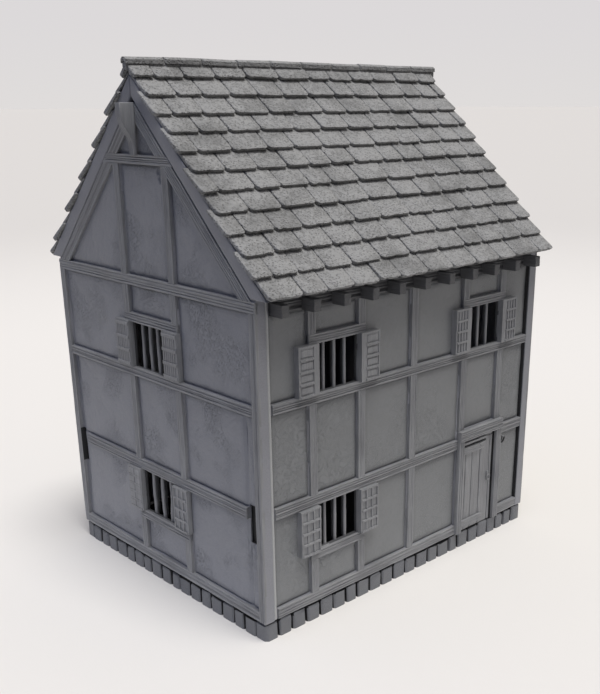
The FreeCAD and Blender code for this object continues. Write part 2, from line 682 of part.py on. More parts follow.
# ---------------------------------------------------------------- check and write
doc.recompute()
faults = [item.Name for item in doc.Objects if {"Invalid", "Error"} & set(item.State)]
if faults:
    raise RuntimeError("objects that failed: " + ", ".join(faults))
for piece in subparts:
    if piece.Shape.isNull() or not piece.Shape.isValid() or piece.Shape.Volume <= 0:
        raise RuntimeError(piece.Label + " has no valid shape")
for piece in subparts:
    piece.Shape.exportStep(os.path.join("parts", piece.Label + ".step"))
    print(piece.Label, round(piece.Shape.Volume, 2))
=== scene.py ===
"""Looks of a half-timbered town house, a 1:56 kit moulded in dark grey polystyrene.

Each wall and each slope of the roof is shaped lying flat on the bench, face up, with one
unit to a millimetre. It is then stood in its place on the house at true size, in metres.
"""
import json
import logging
import math
import random
from contextlib import contextmanager
from dataclasses import dataclass, field, replace
from enum import Enum
from functools import partial
from typing import Callable, Iterator, Sequence

import bmesh
import bpy
from mathutils import Matrix, Vector

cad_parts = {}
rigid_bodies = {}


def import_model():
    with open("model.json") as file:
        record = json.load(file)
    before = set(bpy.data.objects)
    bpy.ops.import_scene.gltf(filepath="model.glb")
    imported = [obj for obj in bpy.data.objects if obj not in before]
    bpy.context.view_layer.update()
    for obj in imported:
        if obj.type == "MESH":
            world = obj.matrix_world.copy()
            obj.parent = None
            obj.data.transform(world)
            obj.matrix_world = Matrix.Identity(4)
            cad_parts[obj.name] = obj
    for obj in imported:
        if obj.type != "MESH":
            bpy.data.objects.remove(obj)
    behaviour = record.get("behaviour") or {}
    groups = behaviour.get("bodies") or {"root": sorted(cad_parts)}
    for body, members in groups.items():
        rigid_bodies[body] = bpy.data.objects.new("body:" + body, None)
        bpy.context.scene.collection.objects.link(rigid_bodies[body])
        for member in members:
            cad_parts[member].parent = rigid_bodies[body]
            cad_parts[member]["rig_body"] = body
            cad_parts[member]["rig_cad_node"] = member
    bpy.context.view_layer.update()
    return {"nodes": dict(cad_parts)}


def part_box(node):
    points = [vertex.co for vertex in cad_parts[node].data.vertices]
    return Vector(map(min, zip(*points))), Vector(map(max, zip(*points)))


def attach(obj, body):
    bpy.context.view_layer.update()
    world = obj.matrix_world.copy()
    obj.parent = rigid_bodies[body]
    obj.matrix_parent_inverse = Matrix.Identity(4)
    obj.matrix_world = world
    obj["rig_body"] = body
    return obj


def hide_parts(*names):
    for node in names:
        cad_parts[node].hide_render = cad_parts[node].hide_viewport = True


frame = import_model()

MM = 0.001
BODY = "root"
TOUCH = 1e-3  # two places this close, in mm, are the same place
TO_METRES = Matrix.Scale(MM, 4)
# the directions of the bench: along a wall, up it, and out of its face
ACROSS, UP, OUT = Vector((1.0, 0.0, 0.0)), Vector((0.0, 1.0, 0.0)), Vector((0.0, 0.0, 1.0))
log = logging.getLogger("town_house")

Piece = bpy.types.Object
Node = bpy.types.Node
Point = tuple[float, float]
Place = tuple[float, float, float]
Cut = tuple[Vector, Vector]  # a plane, by a point of it and its normal
EdgeTest = Callable[[Vector, Vector], bool]  # whether an edge with these two ends is meant


# ---------------------------------------------------------------- the bench
def clear_selection() -> None:
    """Deselect everything, so that an operator acts only on what it is given."""
    bpy.ops.object.select_all(action="DESELECT")


def take(piece: Piece) -> None:
    """Select one piece alone and make it the active one.

    Args:
        piece: The piece to work on.
    """
    clear_selection()
    piece.select_set(True)
    bpy.context.view_layer.objects.active = piece


@contextmanager
def editing(piece: Piece, mode: str = "VERT") -> Iterator[None]:
    """Open a piece in edit mode with nothing selected, and close it again.

    Args:
        piece: The piece to open.
        mode: What is selected in it: VERT, EDGE or FACE.

    Yields:
        Nothing; the piece is open meanwhile.
    """
    take(piece)
    bpy.ops.object.mode_set(mode="EDIT")
    bpy.ops.mesh.select_mode(type=mode)
    bpy.ops.mesh.select_all(action="DESELECT")
    try:
        yield
    finally:
        bpy.ops.object.mode_set(mode="OBJECT")


def pick_all() -> None:
    """Select all of the open piece."""
    bpy.ops.mesh.select_all(action="SELECT")


def pick_parts(piece: Piece, layer: str, wanted: Callable[..., bool]) -> None:
    """Select the parts of an open piece that pass a test.

    Args:
        piece: The open piece.
        layer: Which parts: verts, edges or faces.
        wanted: The test on one of them.
    """
    bpy.ops.mesh.select_all(action="DESELECT")
    mesh = bmesh.from_edit_mesh(piece.data)
    for part in getattr(mesh, layer):
        if wanted(part):
            part.select_set(True)
    if layer == "verts":
        mesh.select_flush_mode()
    bmesh.update_edit_mesh(piece.data)


def pick_points(piece: Piece, wanted: Callable[[Vector], bool]) -> None:
    """Select the points of an open piece whose place passes a test."""
    pick_parts(piece, "verts", lambda point: wanted(point.co))


def pick_edges(piece: Piece, wanted: EdgeTest) -> None:
    """Select the edges of an open piece whose two ends pass a test."""
    pick_parts(piece, "edges", lambda edge: wanted(edge.verts[0].co, edge.verts[1].co))


def pick_faces(piece: Piece, wanted: Callable[[Vector, Vector], bool]) -> None:
    """Select the faces of an open piece whose middle and normal pass a test."""
    pick_parts(piece, "faces", lambda face: wanted(face.calc_center_median(), face.normal))


def push(piece: Piece, wanted: Callable[[Vector], bool], by: Place) -> None:
    """Move the points of an open piece whose place passes a test."""
    pick_points(piece, wanted)
    bpy.ops.transform.translate(value=by)


def roughen(amount: float, rng: random.Random) -> None:
    """Move each selected point a little its own way, up to an amount."""
    bpy.ops.transform.vertex_random(offset=amount, uniform=1.0, normal=0.0,
                                    seed=rng.randrange(1000))


def extrude(by: Place) -> None:
    """Draw out what is selected."""
    bpy.ops.mesh.extrude_region_move(TRANSFORM_OT_translate={"value": by})


def slice_at(where: Vector, normal: Vector, drop: bool = False) -> None:
    """Slice the open piece with a plane; if told to drop it, what is past it falls off."""
    pick_all()
    bpy.ops.mesh.bisect(plane_co=where, plane_no=normal, use_fill=drop, clear_outer=drop)


def trim(piece: Piece, cuts: Sequence[Cut]) -> None:
    """Saw off what lies outside some planes.

    Args:
        piece: The piece.
        cuts: The planes.
    """
    if cuts:
        with editing(piece):
            for where, normal in cuts:
                slice_at(where, normal, drop=True)


def block(size: Place, middle: Place) -> Piece:
    """A squared block, the start of a piece.

    Args:
        size: Its three sizes.
        middle: Its middle.

    Returns:
        The block, open to more work.
    """
    clear_selection()
    bpy.ops.mesh.primitive_cube_add(size=1.0, location=middle)
    piece = bpy.context.object
    piece.scale = size
    bpy.ops.object.transform_apply()
    return piece


def sheet(width: float, height: float, depth: float, across: int, up: int) -> Piece:
    """A closed slab with a finely divided face, lying face up about the origin.

    Args:
        width: Its size along X.
        height: Its size along Y.
        depth: How thick it is below its face.
        across: Number of cells along X.
        up: Number of cells along Y.

    Returns:
        The slab.
    """
    clear_selection()
    bpy.ops.mesh.primitive_grid_add(x_subdivisions=across, y_subdivisions=up, size=1.0)
    piece = bpy.context.object
    with editing(piece, "EDGE"):
        pick_all()
        bpy.ops.transform.resize(value=(width, height, 1.0))
        bpy.ops.mesh.select_all(action="DESELECT")
        bpy.ops.mesh.select_non_manifold()
        extrude((0.0, 0.0, -depth))
        bpy.ops.mesh.edge_face_add()
    return piece


def rim_of(width: float, height: float) -> EdgeTest:
    """A test for the edges on the rim of the face of a sheet of this size."""
    half = width / 2 - TOUCH, height / 2 - TOUCH
    return lambda a, b: min(a.z, b.z) > -TOUCH and any(
        abs(a[i]) > half[i] and abs(b[i]) > half[i] for i in (0, 1))


def soften(piece: Piece, edges: EdgeTest, radius: float, segments: int = 2) -> None:
    """Round some edges of a piece.

    Args:
        piece: The piece.
        edges: Which edges.
        radius: Size of the rounding.
        segments: Number of facets in it.
    """
    with editing(piece, "EDGE"):
        pick_edges(piece, edges)
        bpy.ops.mesh.bevel(offset=radius, segments=segments, affect="EDGES")


def rotation(degrees: float, axis: str) -> Matrix:
    """A turn about an axis."""
    return Matrix.Rotation(math.radians(degrees), 4, axis)


def set_down(piece: Piece, place: Matrix) -> Piece:
    """Move a piece and write its new place into its mesh.

    Args:
        piece: The piece.
        place: Where it goes.

    Returns:
        The same piece.
    """
    piece.data.transform(place)
    piece.data.update()
    return piece


def copy_of(piece: Piece) -> Piece:
    """A copy of a piece with a mesh of its own.

    Args:
        piece: The pattern.

    Returns:
        The copy.
    """
    twin = piece.copy()
    twin.data = piece.data.copy()
    bpy.context.scene.collection.objects.link(twin)
    return twin


def scrap(*pieces: Piece) -> None:
    """Clear patterns off the bench that have been copied."""
    for piece in pieces:
        bpy.data.meshes.remove(piece.data)


def join(pieces: Sequence[Piece], name: str) -> Piece:
    """Glue pieces into one.

    Args:
        pieces: The pieces; the first one takes up the rest.
        name: Name of the whole.

    Returns:
        The whole.
    """
    clear_selection()
    for piece in pieces:
        piece.select_set(True)
    bpy.context.view_layer.objects.active = pieces[0]
    if len(pieces) > 1:
        bpy.ops.object.join()
    pieces[0].name = pieces[0].data.name = name
    return pieces[0]


def carved_copy(node: str, bench: Matrix) -> Piece:
    """A copy of a solid from the frame, merged, laid on the bench in millimetres.

    Args:
        node: Name of the solid.
        bench: Where the bench stands, from bench to house.

    Returns:
        The copy.
    """
    piece = copy_of(frame["nodes"][node])
    piece.parent = None
    piece.hide_render = piece.hide_viewport = False
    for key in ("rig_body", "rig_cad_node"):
        if key in piece:
            del piece[key]
    piece.data.materials.clear()
    set_down(piece, bench.inverted())
    with editing(piece):
        pick_all()
        bpy.ops.mesh.remove_doubles(threshold=TOUCH)
        bpy.ops.mesh.dissolve_limited(angle_limit=math.radians(1.0))
    return piece


def upright(place: Vector) -> Place:
    """A point's place in wood that stands upright, with its fibres along the first number."""
    return place.y, place.x, place.z


def lay_grain(piece: Piece, turned: Callable[[Vector], Sequence[float]] = upright) -> None:
    """Note each point's place in the wood, turned so that the fibres come first."""
    grain = piece.data.attributes.new("grain", "FLOAT_VECTOR", "POINT")
    grain.data.foreach_set("vector", [c for v in piece.data.vertices for c in turned(v.co)])


def hand_over(piece: Piece, place: Matrix, *replaced: str, angle: float = 32.0) -> None:
    """Stand a finished piece in its place, smooth its soft turns and fix it to the house.

    Args:
        piece: The finished piece, on the bench.
        place: Where the bench stands.
        *replaced: Names of the solids it stands for.
        angle: The sharpest turn that is smoothed, in degrees.
    """
    take(set_down(piece, place))
    bpy.ops.object.shade_smooth_by_angle(angle=math.radians(angle))
    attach(piece, BODY)
    if replaced:
        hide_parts(*replaced)
    log.info("%s: %d faces", piece.name, len(piece.data.polygons))


# ---------------------------------------------------------------- finishes
def linear(code: str) -> tuple[float, float, float, float]:
    """Turn an sRGB hex colour, such as "#7c7d82", to the linear one that shaders take."""
    parts = (int(code[i:i + 2], 16) / 255 for i in (1, 3, 5))
    return (*(c / 12.92 if c <= 0.04045 else ((c + 0.055) / 1.055) ** 2.4 for c in parts), 1.0)


def per_metre(size_mm: float) -> float:
    """How many patterns of a size in millimetres lie in a metre."""
    return 1.0 / (size_mm * MM)


def add_node(tree: bpy.types.NodeTree, kind: str, inputs: dict | None = None,
             **settings) -> Node:
    """Add one node with its settings, and set or link its inputs.

    Args:
        tree: The tree it goes in.
        kind: The node's type, as it follows ShaderNode.
        inputs: Values, sockets, or nodes whose first output is meant, by input name.
        **settings: The node's own properties.

    Returns:
        The node.
    """
    node = tree.nodes.new(f"ShaderNode{kind}")
    for name, value in settings.items():
        setattr(node, name, value)
    for name, value in (inputs or {}).items():
        if isinstance(value, Node):
            value = value.outputs[0]
        if isinstance(value, bpy.types.NodeSocket):
            tree.links.new(value, node.inputs[name])
        else:
            node.inputs[name].default_value = value
    return node


def empty_tree(owner: bpy.types.Material | bpy.types.World) -> Callable[..., Node]:
    """Clear the nodes of a material or a world.

    Args:
        owner: The material or the world.

    Returns:
        The function that adds a node to it.
    """
    owner.use_nodes = True
    owner.node_tree.nodes.clear()
    return partial(add_node, owner.node_tree)


class Texture(Enum):
    """What the mould has left in a surface."""
    SMOOTH = "smooth"
    TROWELLED = "trowelled"
    GRAINED = "grained"
    PITTED = "pitted"


@dataclass(frozen=True)
class Polystyrene:
    """Injection-moulded grey polystyrene, unpainted; one finish of the mould's surface.

    Polystyrene has an IOR of 1.59. Colours are sRGB, sizes are in millimetres.
    """
    name: str
    colour: str
    shade: str
    roughness: float
    texture: Texture = Texture.SMOOTH
    patch: float = 14.0
    grain: float = 0.6
    relief: float = 0.05
    ior: float = 1.59

    def material(self) -> bpy.types.Material:
        """The finish as a material, made once.

        Returns:
            The material.
        """
        if self.name in bpy.data.materials:
            return bpy.data.materials[self.name]
        material = bpy.data.materials.new(self.name)
        add = empty_tree(material)
        place = add("TexCoord").outputs["Object"]
        height = self._height(add, place)
        # the resin's colour swims a little, in patches as wide as its flow marks; the colour also
        # follows the fine relief: painted shade in its hollows and pits, painted highlight on its
        # raised strokes and fibres
        drift = add("TexNoise", {"Vector": place, "Scale": per_metre(self.patch), "Detail": 3.0})
        tint = add("Math", {0: drift, 1: height}, operation="MULTIPLY")
        colour = add("ValToRGB", {"Fac": tint})
        low, high = colour.color_ramp.elements
        low.color, low.position = linear(self.shade), 0.05
        high.color, high.position = linear(self.colour), 0.42
        # where the mould is worn, the skin is a little duller
        gloss = add("MapRange", {"Value": drift, "From Min": 0.3, "From Max": 0.7,
                                 "To Min": self.roughness - 0.06,
                                 "To Max": self.roughness + 0.06})
        bump = add("Bump", {"Height": height, "Distance": self.relief * MM})
        shader = add("BsdfPrincipled", {"Base Color": colour, "Metallic": 0.0,
                                        "Roughness": gloss, "IOR": self.ior, "Normal": bump})
        add("OutputMaterial", {"Surface": shader})
        return material

    def _height(self, add: Callable[..., Node], place: bpy.types.NodeSocket) -> Node:
        """The fine relief of the surface, from 0 in its hollows to 1.

        Args:
            add: Adds a node to the material.
            place: Object coordinates.

        Returns:
            The node that gives the height.
        """
        if self.texture is Texture.GRAINED:
            # long fibres, twenty times as long as they are wide, along each timber
            along = add("Attribute", attribute_name="grain").outputs["Vector"]
            fine = 1 / self.grain
            fibre = add("Mapping", {"Vector": along, "Scale": (fine / 20, fine, fine)})
            return add("TexNoise", {"Vector": fibre, "Scale": 1.0, "Detail": 4.0,
                                    "Roughness": 0.6})
        scale = per_metre(self.grain)
        if self.texture is Texture.PITTED:
            # round pits close together, with a coarser roughness under them
            pits = add("TexVoronoi", {"Vector": place, "Scale": scale})
            coarse = add("TexNoise", {"Vector": place, "Scale": scale / 3, "Detail": 6.0,
                                      "Roughness": 0.7})
            rim = add("MapRange", {"Value": pits, "From Min": 0.08, "From Max": 0.5,
                                   "To Min": 0.38})
            both = add("Math", {0: rim, 1: coarse}, operation="MULTIPLY")
            return add("Math", {0: both, 1: 1.5}, operation="MULTIPLY", use_clamp=True)
        if self.texture is Texture.TROWELLED:
            # thin raised strokes of a trowel, gathered in patches, on a soft ground
            strokes = add("TexNoise", {"Vector": place, "Scale": scale, "Detail": 5.0,
                                       "Roughness": 0.65, "Distortion": 1.6})
            middle = add("Math", {0: strokes, 1: 0.5}, operation="SUBTRACT")
            apart = add("Math", {0: middle}, operation="ABSOLUTE")
            line = add("MapRange", {"Value": apart, "From Max": 0.022, "To Min": 1.0,
                                    "To Max": 0.0})
            gathered = add("TexNoise", {"Vector": place, "Scale": per_metre(self.patch),
                                        "Detail": 2.0})
            where = add("MapRange", {"Value": gathered, "From Min": 0.46, "From Max": 0.62,
                                     "To Min": 0.03, "To Max": 0.8})
            raised = add("Math", {0: line, 1: where}, operation="MULTIPLY")
            ground = add("Math", {0: strokes, 1: 0.6}, operation="MULTIPLY")
            return add("Math", {0: ground, 1: raised}, operation="ADD")
        return add("TexNoise", {"Vector": place, "Scale": scale, "Detail": 3.0})


class Finish(Enum):
    """The finishes of the house, all in the same moulded polystyrene."""
    # a plain polished face of the mould: an even, faint sheen
    SLAB = Polystyrene("polystyrene_moulded_smooth", "#919195", "#818185", 0.48,
                       grain=0.35, relief=0.012)
    # cast from trowelled plaster: a broken satin sheen on soft strokes
    PLASTER = Polystyrene("polystyrene_cast_trowelled_plaster", "#929398", "#7e7f84", 0.44,
                          Texture.TROWELLED, patch=16.0, grain=1.5, relief=0.2)
    # cast from floated plaster: nearly plain, with a few faint strokes
    FLOATED = Polystyrene("polystyrene_cast_floated_plaster", "#888989", "#757676", 0.46,
                          Texture.TROWELLED, patch=30.0, grain=2.6, relief=0.09)
    # cast from carved wood: fibres catch the light along each timber
    TIMBER = Polystyrene("polystyrene_cast_carved_timber", "#979797", "#6e6e70", 0.48,
                         Texture.GRAINED, grain=0.4, relief=0.2)
    # painted shade: timber under the eaves, the windows' reveals and the webs behind the bars,
    # where little light falls, drawn dull and dark
    EAVES = Polystyrene("polystyrene_cast_dusty_timber", "#565657", "#3c3c3d", 0.6,
                        Texture.GRAINED, grain=0.4, relief=0.2)
    # cast from rough stone: pits break up the sheen, so it looks matt and lighter
    SLATE = Polystyrene("polystyrene_cast_pitted_slate", "#9a9997", "#525250", 0.66,
                        Texture.PITTED, grain=0.72, relief=0.5)
    # painted shade: near-black, for the deep slots and joints, the mortar behind the plinth, the
    # door's gaps, the groove round its upper batten and its ring, where shade falls
    SLOT = Polystyrene("polystyrene_in_deep_slot", "#18191c", "#131417", 0.7,
                       grain=0.35, relief=0.01)
    # painted highlight: a pale, a little glossy strip, drawn as the bright line where the gable's
    # arris catches the light
    EDGE = Polystyrene("polystyrene_burnished_edge", "#b2b2b0", "#a2a2a1", 0.36,
                       grain=0.35, relief=0.01)
    # cast from dressed stone: fine tool marks
    STONE = Polystyrene("polystyrene_cast_dressed_stone", "#7f8083", "#626366", 0.55,
                        Texture.TROWELLED, grain=0.9, relief=0.1)

    def on(self, piece: Piece) -> Piece:
        """Give a piece this finish all over.

        Args:
            piece: The piece.

        Returns:
            The same piece.
        """
        piece.data.materials.clear()
        piece.data.materials.append(self.value.material())
        return piece


def darken(piece: Piece, inside: Callable[[Vector], bool],
           finish: Finish = Finish.SLOT) -> None:
    """Paint shade on the faces in a place that little light reaches, giving them a darker finish
    of their own.

    Args:
        piece: The piece, on the bench.
        inside: Tells by its middle whether a face is in that place.
        finish: The darker finish.
    """
    piece.data.materials.append(finish.value.material())
    with editing(piece, "FACE"):
        pick_faces(piece, lambda middle, normal: inside(middle))
        piece.active_material_index = len(piece.data.materials) - 1
        bpy.ops.object.material_slot_assign()


def slot_liner(size: Place, middle: Place) -> Piece:
    """A near-black strip of painted shade that lines one side of a deep slot.

    Args:
        size: Its three sizes.
        middle: Its middle.

    Returns:
        The strip.
    """
    liner = block(size, middle)
    soften(liner, lambda a, b: min(a.z, b.z) > -0.5, 0.03, 1)
    return Finish.SLOT.on(liner)


@dataclass(frozen=True)
class Tooling:
    """Marks that a tool leaves, pressed into a mesh. Sizes are in millimetres."""
    name: str
    depth: float
    along: float  # length of one mark
    across: float  # width of one mark
    axis: str = "Z"  # the way the surface is pushed
    creased: bool = False  # cuts with sharp bottoms, and not soft waves
    crease: float = 0.3  # share of the surface that the cuts take
    octaves: int = 1

    def _texture(self) -> bpy.types.Texture:
        """The pattern of the marks, made once.

        Returns:
            The texture.
        """
        if self.name in bpy.data.textures:
            return bpy.data.textures[self.name]
        texture = bpy.data.textures.new(self.name, "CLOUDS")
        texture.noise_scale = 1.0
        texture.noise_depth = self.octaves
        texture.noise_type = "HARD_NOISE" if self.creased else "SOFT_NOISE"
        if self.creased:
            texture.use_color_ramp = True
            low, high = texture.color_ramp.elements
            low.color, high.color = (0.0, 0.0, 0.0, 1.0), (1.0, 1.0, 1.0, 1.0)
            high.position = self.crease
        return texture

    def press(self, piece: Piece, rng: random.Random, turn: float = 0.0) -> None:
        """Press the marks into a piece.

        Args:
            piece: The piece, on the bench.
            rng: Where on the pattern it lies.
            turn: How far the marks are turned from X, in degrees.
        """
        guide = bpy.data.objects.new("tool_guide", None)
        bpy.context.scene.collection.objects.link(guide)
        guide.location = [rng.uniform(-900.0, 900.0) for _ in range(3)]
        guide.rotation_euler.z = math.radians(turn)
        guide.scale = (self.along, self.across, self.across)
        marks = piece.modifiers.new(self.name, "DISPLACE")
        marks.texture = self._texture()
        marks.texture_coords = "OBJECT"
        marks.texture_coords_object = guide
        marks.direction = self.axis
        marks.strength = self.depth
        marks.mid_level = 1.0 if self.creased else 0.5
        bpy.context.view_layer.update()
        take(piece)
        bpy.ops.object.modifier_apply(modifier=marks.name)
        bpy.data.objects.remove(guide)


# grooves of a gouge, drawn along each timber
GOUGE = Tooling("gouge", depth=0.14, along=22.0, across=0.8, creased=True)
# the slow waver of a hand-hewn arris
ADZE = Tooling("adze", depth=0.09, along=9.0, across=9.0, axis="Y")
# hollows where plaster was floated off
FLOAT = Tooling("float", depth=0.36, along=13.0, across=10.0)
# the edges a trowel leaves, low and drawn out
TROWEL = Tooling("trowel", depth=0.24, along=6.5, across=2.2, creased=True, crease=0.18)
# broken end grain and weathered stone
CHISEL = Tooling("chisel", depth=0.3, along=1.6, across=1.6, octaves=2)


# ---------------------------------------------------------------- the house's own places
class Side(Enum):
    """The sides of the house, with how far each is turned from the front, in degrees."""
    FRONT = 0
    RIGHT = 90
    BACK = 180
    LEFT = 270

    @property
    def title(self) -> str:
        """The side's name in the names of pieces."""
        return self.name.lower()


@dataclass(frozen=True)
class Levels:
    """Heights above the plinth, the same on every wall, in millimetres."""
    sill: float = 3.3
    window_sill_foot: float = 14.1
    window_sill: float = 16.9
    lower_rail: float = 31.6
    lower_rail_top: float = 35.0
    middle_rail: float = 62.8
    middle_rail_top: float = 65.7
    lintel: float = 80.0
    lintel_top: float = 82.9
    plate: float = 90.3
    tie_beam: float = 91.4
    tie_beam_top: float = 94.5
    shoulder: float = 95.0
    collar: float = 126.5
    collar_top: float = 129.1


@dataclass(frozen=True)
class Shell:
    """The outside of the house in millimetres, read from the frame."""
    half_length: float
    half_depth: float
    plinth: float
    levels: Levels = Levels()
    stud: float = 2.8
    panel: float = 3.6
    recess: float = 1.0

    @classmethod
    def measured(cls) -> "Shell":
        """The shell with its sizes taken off the frame's solids."""
        low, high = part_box("right_gable_wall")
        return cls(half_length=high.x / MM, half_depth=high.y / MM, plinth=low.z / MM)

    def bench(self, side: Side) -> Matrix:
        """Where a wall's bench stands: X along the wall seen from outside, Y up, Z out.

        Args:
            side: The wall's side of the house.

        Returns:
            The way from the bench, in millimetres, to the house, in metres.
        """
        reach = self.half_depth if side in (Side.FRONT, Side.BACK) else self.half_length
        turn = rotation(side.value, "Z")
        stand = Matrix.Translation((0.0, -reach, self.plinth))
        upright = rotation(90.0, "X")
        return Matrix.Scale(MM, 4) @ turn @ stand @ upright


@dataclass(frozen=True)
class Window:
    """One window opening on its wall's bench, in millimetres."""
    left: float
    foot: float
    height: float
    width: float = 16.7

    @property
    def right(self) -> float:
        """Its right edge."""
        return self.left + self.width

    @property
    def head(self) -> float:
        """Its upper edge."""
        return self.foot + self.height

    def reaches(self, place: Vector, past: float) -> bool:
        """Whether a place lies in the opening or past its sides by less than a distance."""
        return abs(place.x - self.left - self.width / 2) < self.width / 2 + past


# ---------------------------------------------------------------- timbers and plaster
@dataclass
class Timber:
    """One hewn timber, lying on its wall with its face up. Sizes in millimetres."""
    foot: Point
    head: Point
    width: float
    face: float = 0.0
    depth: float = 1.05
    arris: float = 0.12
    rib: float = 0.74  # width of the ribs between its grooves
    groove: float = 0.4  # depth of the grooves
    cuts: tuple[Cut, ...] = ()
    finish: Finish = Finish.TIMBER
    LONG_CELL = 1.1
    RIB_CELLS = 4

    @classmethod
    def level(cls, left: float, right: float, bottom: float, top: float, **more) -> "Timber":
        """A level timber, given by its edges and, if need be, its other sizes."""
        middle = (bottom + top) / 2
        return cls((left, middle), (right, middle), top - bottom, **more)

    @classmethod
    def upright(cls, left: float, right: float, bottom: float, top: float, **more) -> "Timber":
        """An upright timber, given by its edges and, if need be, its other sizes."""
        middle = (left + right) / 2
        return cls((middle, bottom), (middle, top), right - left, **more)

    def hew(self, rng: random.Random) -> Piece:
        """Hew the timber and lay it in place.

        Args:
            rng: Makes each timber's grain its own.

        Returns:
            The timber.
        """
        length = math.dist(self.foot, self.head)
        ribs = max(1, round(self.width / self.rib))
        cell = self.width / (ribs * self.RIB_CELLS)
        piece = sheet(length, self.width, self.depth, max(3, round(length / self.LONG_CELL)),
                      ribs * self.RIB_CELLS)
        soften(piece, rim_of(length, self.width), self.arris)
        with editing(piece):
            for number in range(1, ribs):
                line = (number * self.RIB_CELLS + rng.choice((-1, 0, 0, 1))) * cell
                push(piece, lambda p: p.z > -TOUCH and abs(p.x) < length / 2 - TOUCH
                     and abs(p.y + self.width / 2 - line) < cell / 4,
                     (0.0, 0.0, -self.groove * rng.uniform(0.55, 1.1)))
        start = Vector([rng.uniform(0.0, 400.0) for _ in range(3)])
        lay_grain(piece, lambda p: p + start)
        GOUGE.press(piece, rng)
        ADZE.press(piece, rng)
        run, rise = self.head[0] - self.foot[0], self.head[1] - self.foot[1]
        middle = ((self.foot[0] + self.head[0]) / 2, (self.foot[1] + self.head[1]) / 2, self.face)
        set_down(piece, Matrix.Translation(middle)
                 @ Matrix.Rotation(math.atan2(rise, run), 4, "Z"))
        trim(piece, self.cuts)
        return self.finish.on(piece)


@dataclass
class Bay:
    """One field of plaster, sunk between the timbers. Sizes in millimetres."""
    left: float
    right: float
    bottom: float
    top: float
    level: float = -1.0
    tuck_left: float = 0.25  # how far it runs under the timber at each edge
    tuck_right: float = 0.25
    tuck_bottom: float = 0.25
    tuck_top: float = 0.25
    chip: tuple[float, ...] = ()  # middle and half sizes of a ragged hole, if it has one
    cuts: tuple[Cut, ...] = ()
    CELL = 0.46
    DEPTH = 0.75
    PITS = 12  # how many pits make up a ragged hole, their half size and their depth
    PIT = (0.4, 0.7)
    DIPS = ((1.4, 0.12), (0.75, 0.4))  # how near the edge, and how far it dips there

    def spread(self, rng: random.Random, roughness: float, finish: Finish) -> Piece:
        """Spread the plaster and lay it in place.

        Args:
            rng: Makes each bay's strokes its own.
            roughness: How strongly the trowel's edge shows, as a share.
            finish: The plaster's finish.

        Returns:
            The field.
        """
        left, right = self.left - self.tuck_left, self.right + self.tuck_right
        bottom, top = self.bottom - self.tuck_bottom, self.top + self.tuck_top
        width, height = right - left, top - bottom
        piece = sheet(width, height, self.DEPTH, max(2, round(width / self.CELL)),
                      max(2, round(height / self.CELL)))
        with editing(piece):
            for near, dip in self.DIPS:
                push(piece, lambda p: p.z > -0.5 and (abs(p.x) > width / 2 - near
                                                      or abs(p.y) > height / 2 - near),
                     (0.0, 0.0, -dip))
        FLOAT.press(piece, rng, turn=rng.uniform(0.0, 180.0))
        trowel = replace(TROWEL, name=f"trowel_{roughness:.2f}", depth=TROWEL.depth * roughness)
        for _ in range(2):
            trowel.press(piece, rng, turn=rng.uniform(20.0, 70.0))
        set_down(piece, Matrix.Translation(((left + right) / 2, (bottom + top) / 2,
                                            self.level + 0.12)))
        if self.chip:
            (across, up, wide, tall), (size, deep) = self.chip, self.PIT
            with editing(piece):
                for _ in range(self.PITS):
                    near = across + rng.uniform(-wide, wide)
                    over = up + rng.uniform(-tall, tall)
                    push(piece, lambda p: p.z > self.level - 0.6 and abs(p.x - near) < size
                         and abs(p.y - over) < size, (0.0, 0.0, -deep))
        trim(piece, self.cuts)
        return finish.on(piece)


@dataclass
class Wall:
    """A wall panel: the frame's solid as its core, dressed with timbers and plaster."""
    shell: Shell
    side: Side
    node: str
    roughness: float = 1.0
    plaster: Finish = Finish.PLASTER
    inner_sills: dict[int, float] = field(default_factory=dict)  # rise towards the inside
    SINK = 0.6  # the core's faces are sunk under what dresses them
    REVEAL = 1.9  # behind this the windows widen towards the inside
    SPLAY = 2.4

    @property
    def bench(self) -> Matrix:
        """Where this wall's bench stands."""
        return self.shell.bench(self.side)

    def windows(self) -> list[Window]:
        """The window openings of this wall."""
        raise NotImplementedError

    def timbers(self) -> list[Timber]:
        """The timbers of this wall."""
        raise NotImplementedError

    def bays(self) -> list[Bay]:
        """The plaster fields of this wall."""
        raise NotImplementedError

    def core(self) -> Piece:
        """The panel itself, with splayed windows, its faces sunk a little, and painted shade on
        the windows' reveals.
        """
        piece = carved_copy(self.node, self.bench)
        near, back, splay = 0.05, 0.05 - self.shell.panel, self.SPLAY
        with editing(piece):
            slice_at(-self.REVEAL * OUT, OUT)
            for number, window in enumerate(self.windows()):
                for edge, out in ((window.left, -splay), (window.right, splay)):
                    push(piece, lambda p: p.z < back and abs(p.x - edge) < near
                         and window.foot - near < p.y < window.head + near, (out, 0.0, 0.0))
                sill = self.inner_sills.get(number, -splay)
                for edge, out in ((window.foot, sill), (window.head, splay)):
                    push(piece, lambda p: p.z < back and abs(p.y - edge) < near
                         and window.reaches(p, splay + near), (0.0, out, 0.0))
            push(piece, lambda p: p.z > -self.shell.recess - 0.1, (0.0, 0.0, -self.SINK))
        Finish.SLAB.on(piece)
        # painted shade: the windows' reveals are drawn dark
        darken(piece, lambda m: back < m.z < -self.SINK - near and any(
            w.reaches(m, splay) and w.foot - splay < m.y < w.head + splay
            for w in self.windows()), Finish.EAVES)
        return piece

    def build(self) -> None:
        """Make the wall and stand it in place."""
        rng = random.Random(self.node)
        pieces = [self.core()]
        pieces += [timber.hew(rng) for timber in self.timbers()]
        pieces += [bay.spread(rng, self.roughness, self.plaster) for bay in self.bays()]
        hand_over(join(pieces, f"{self.node}_dressed"), self.bench, self.node)


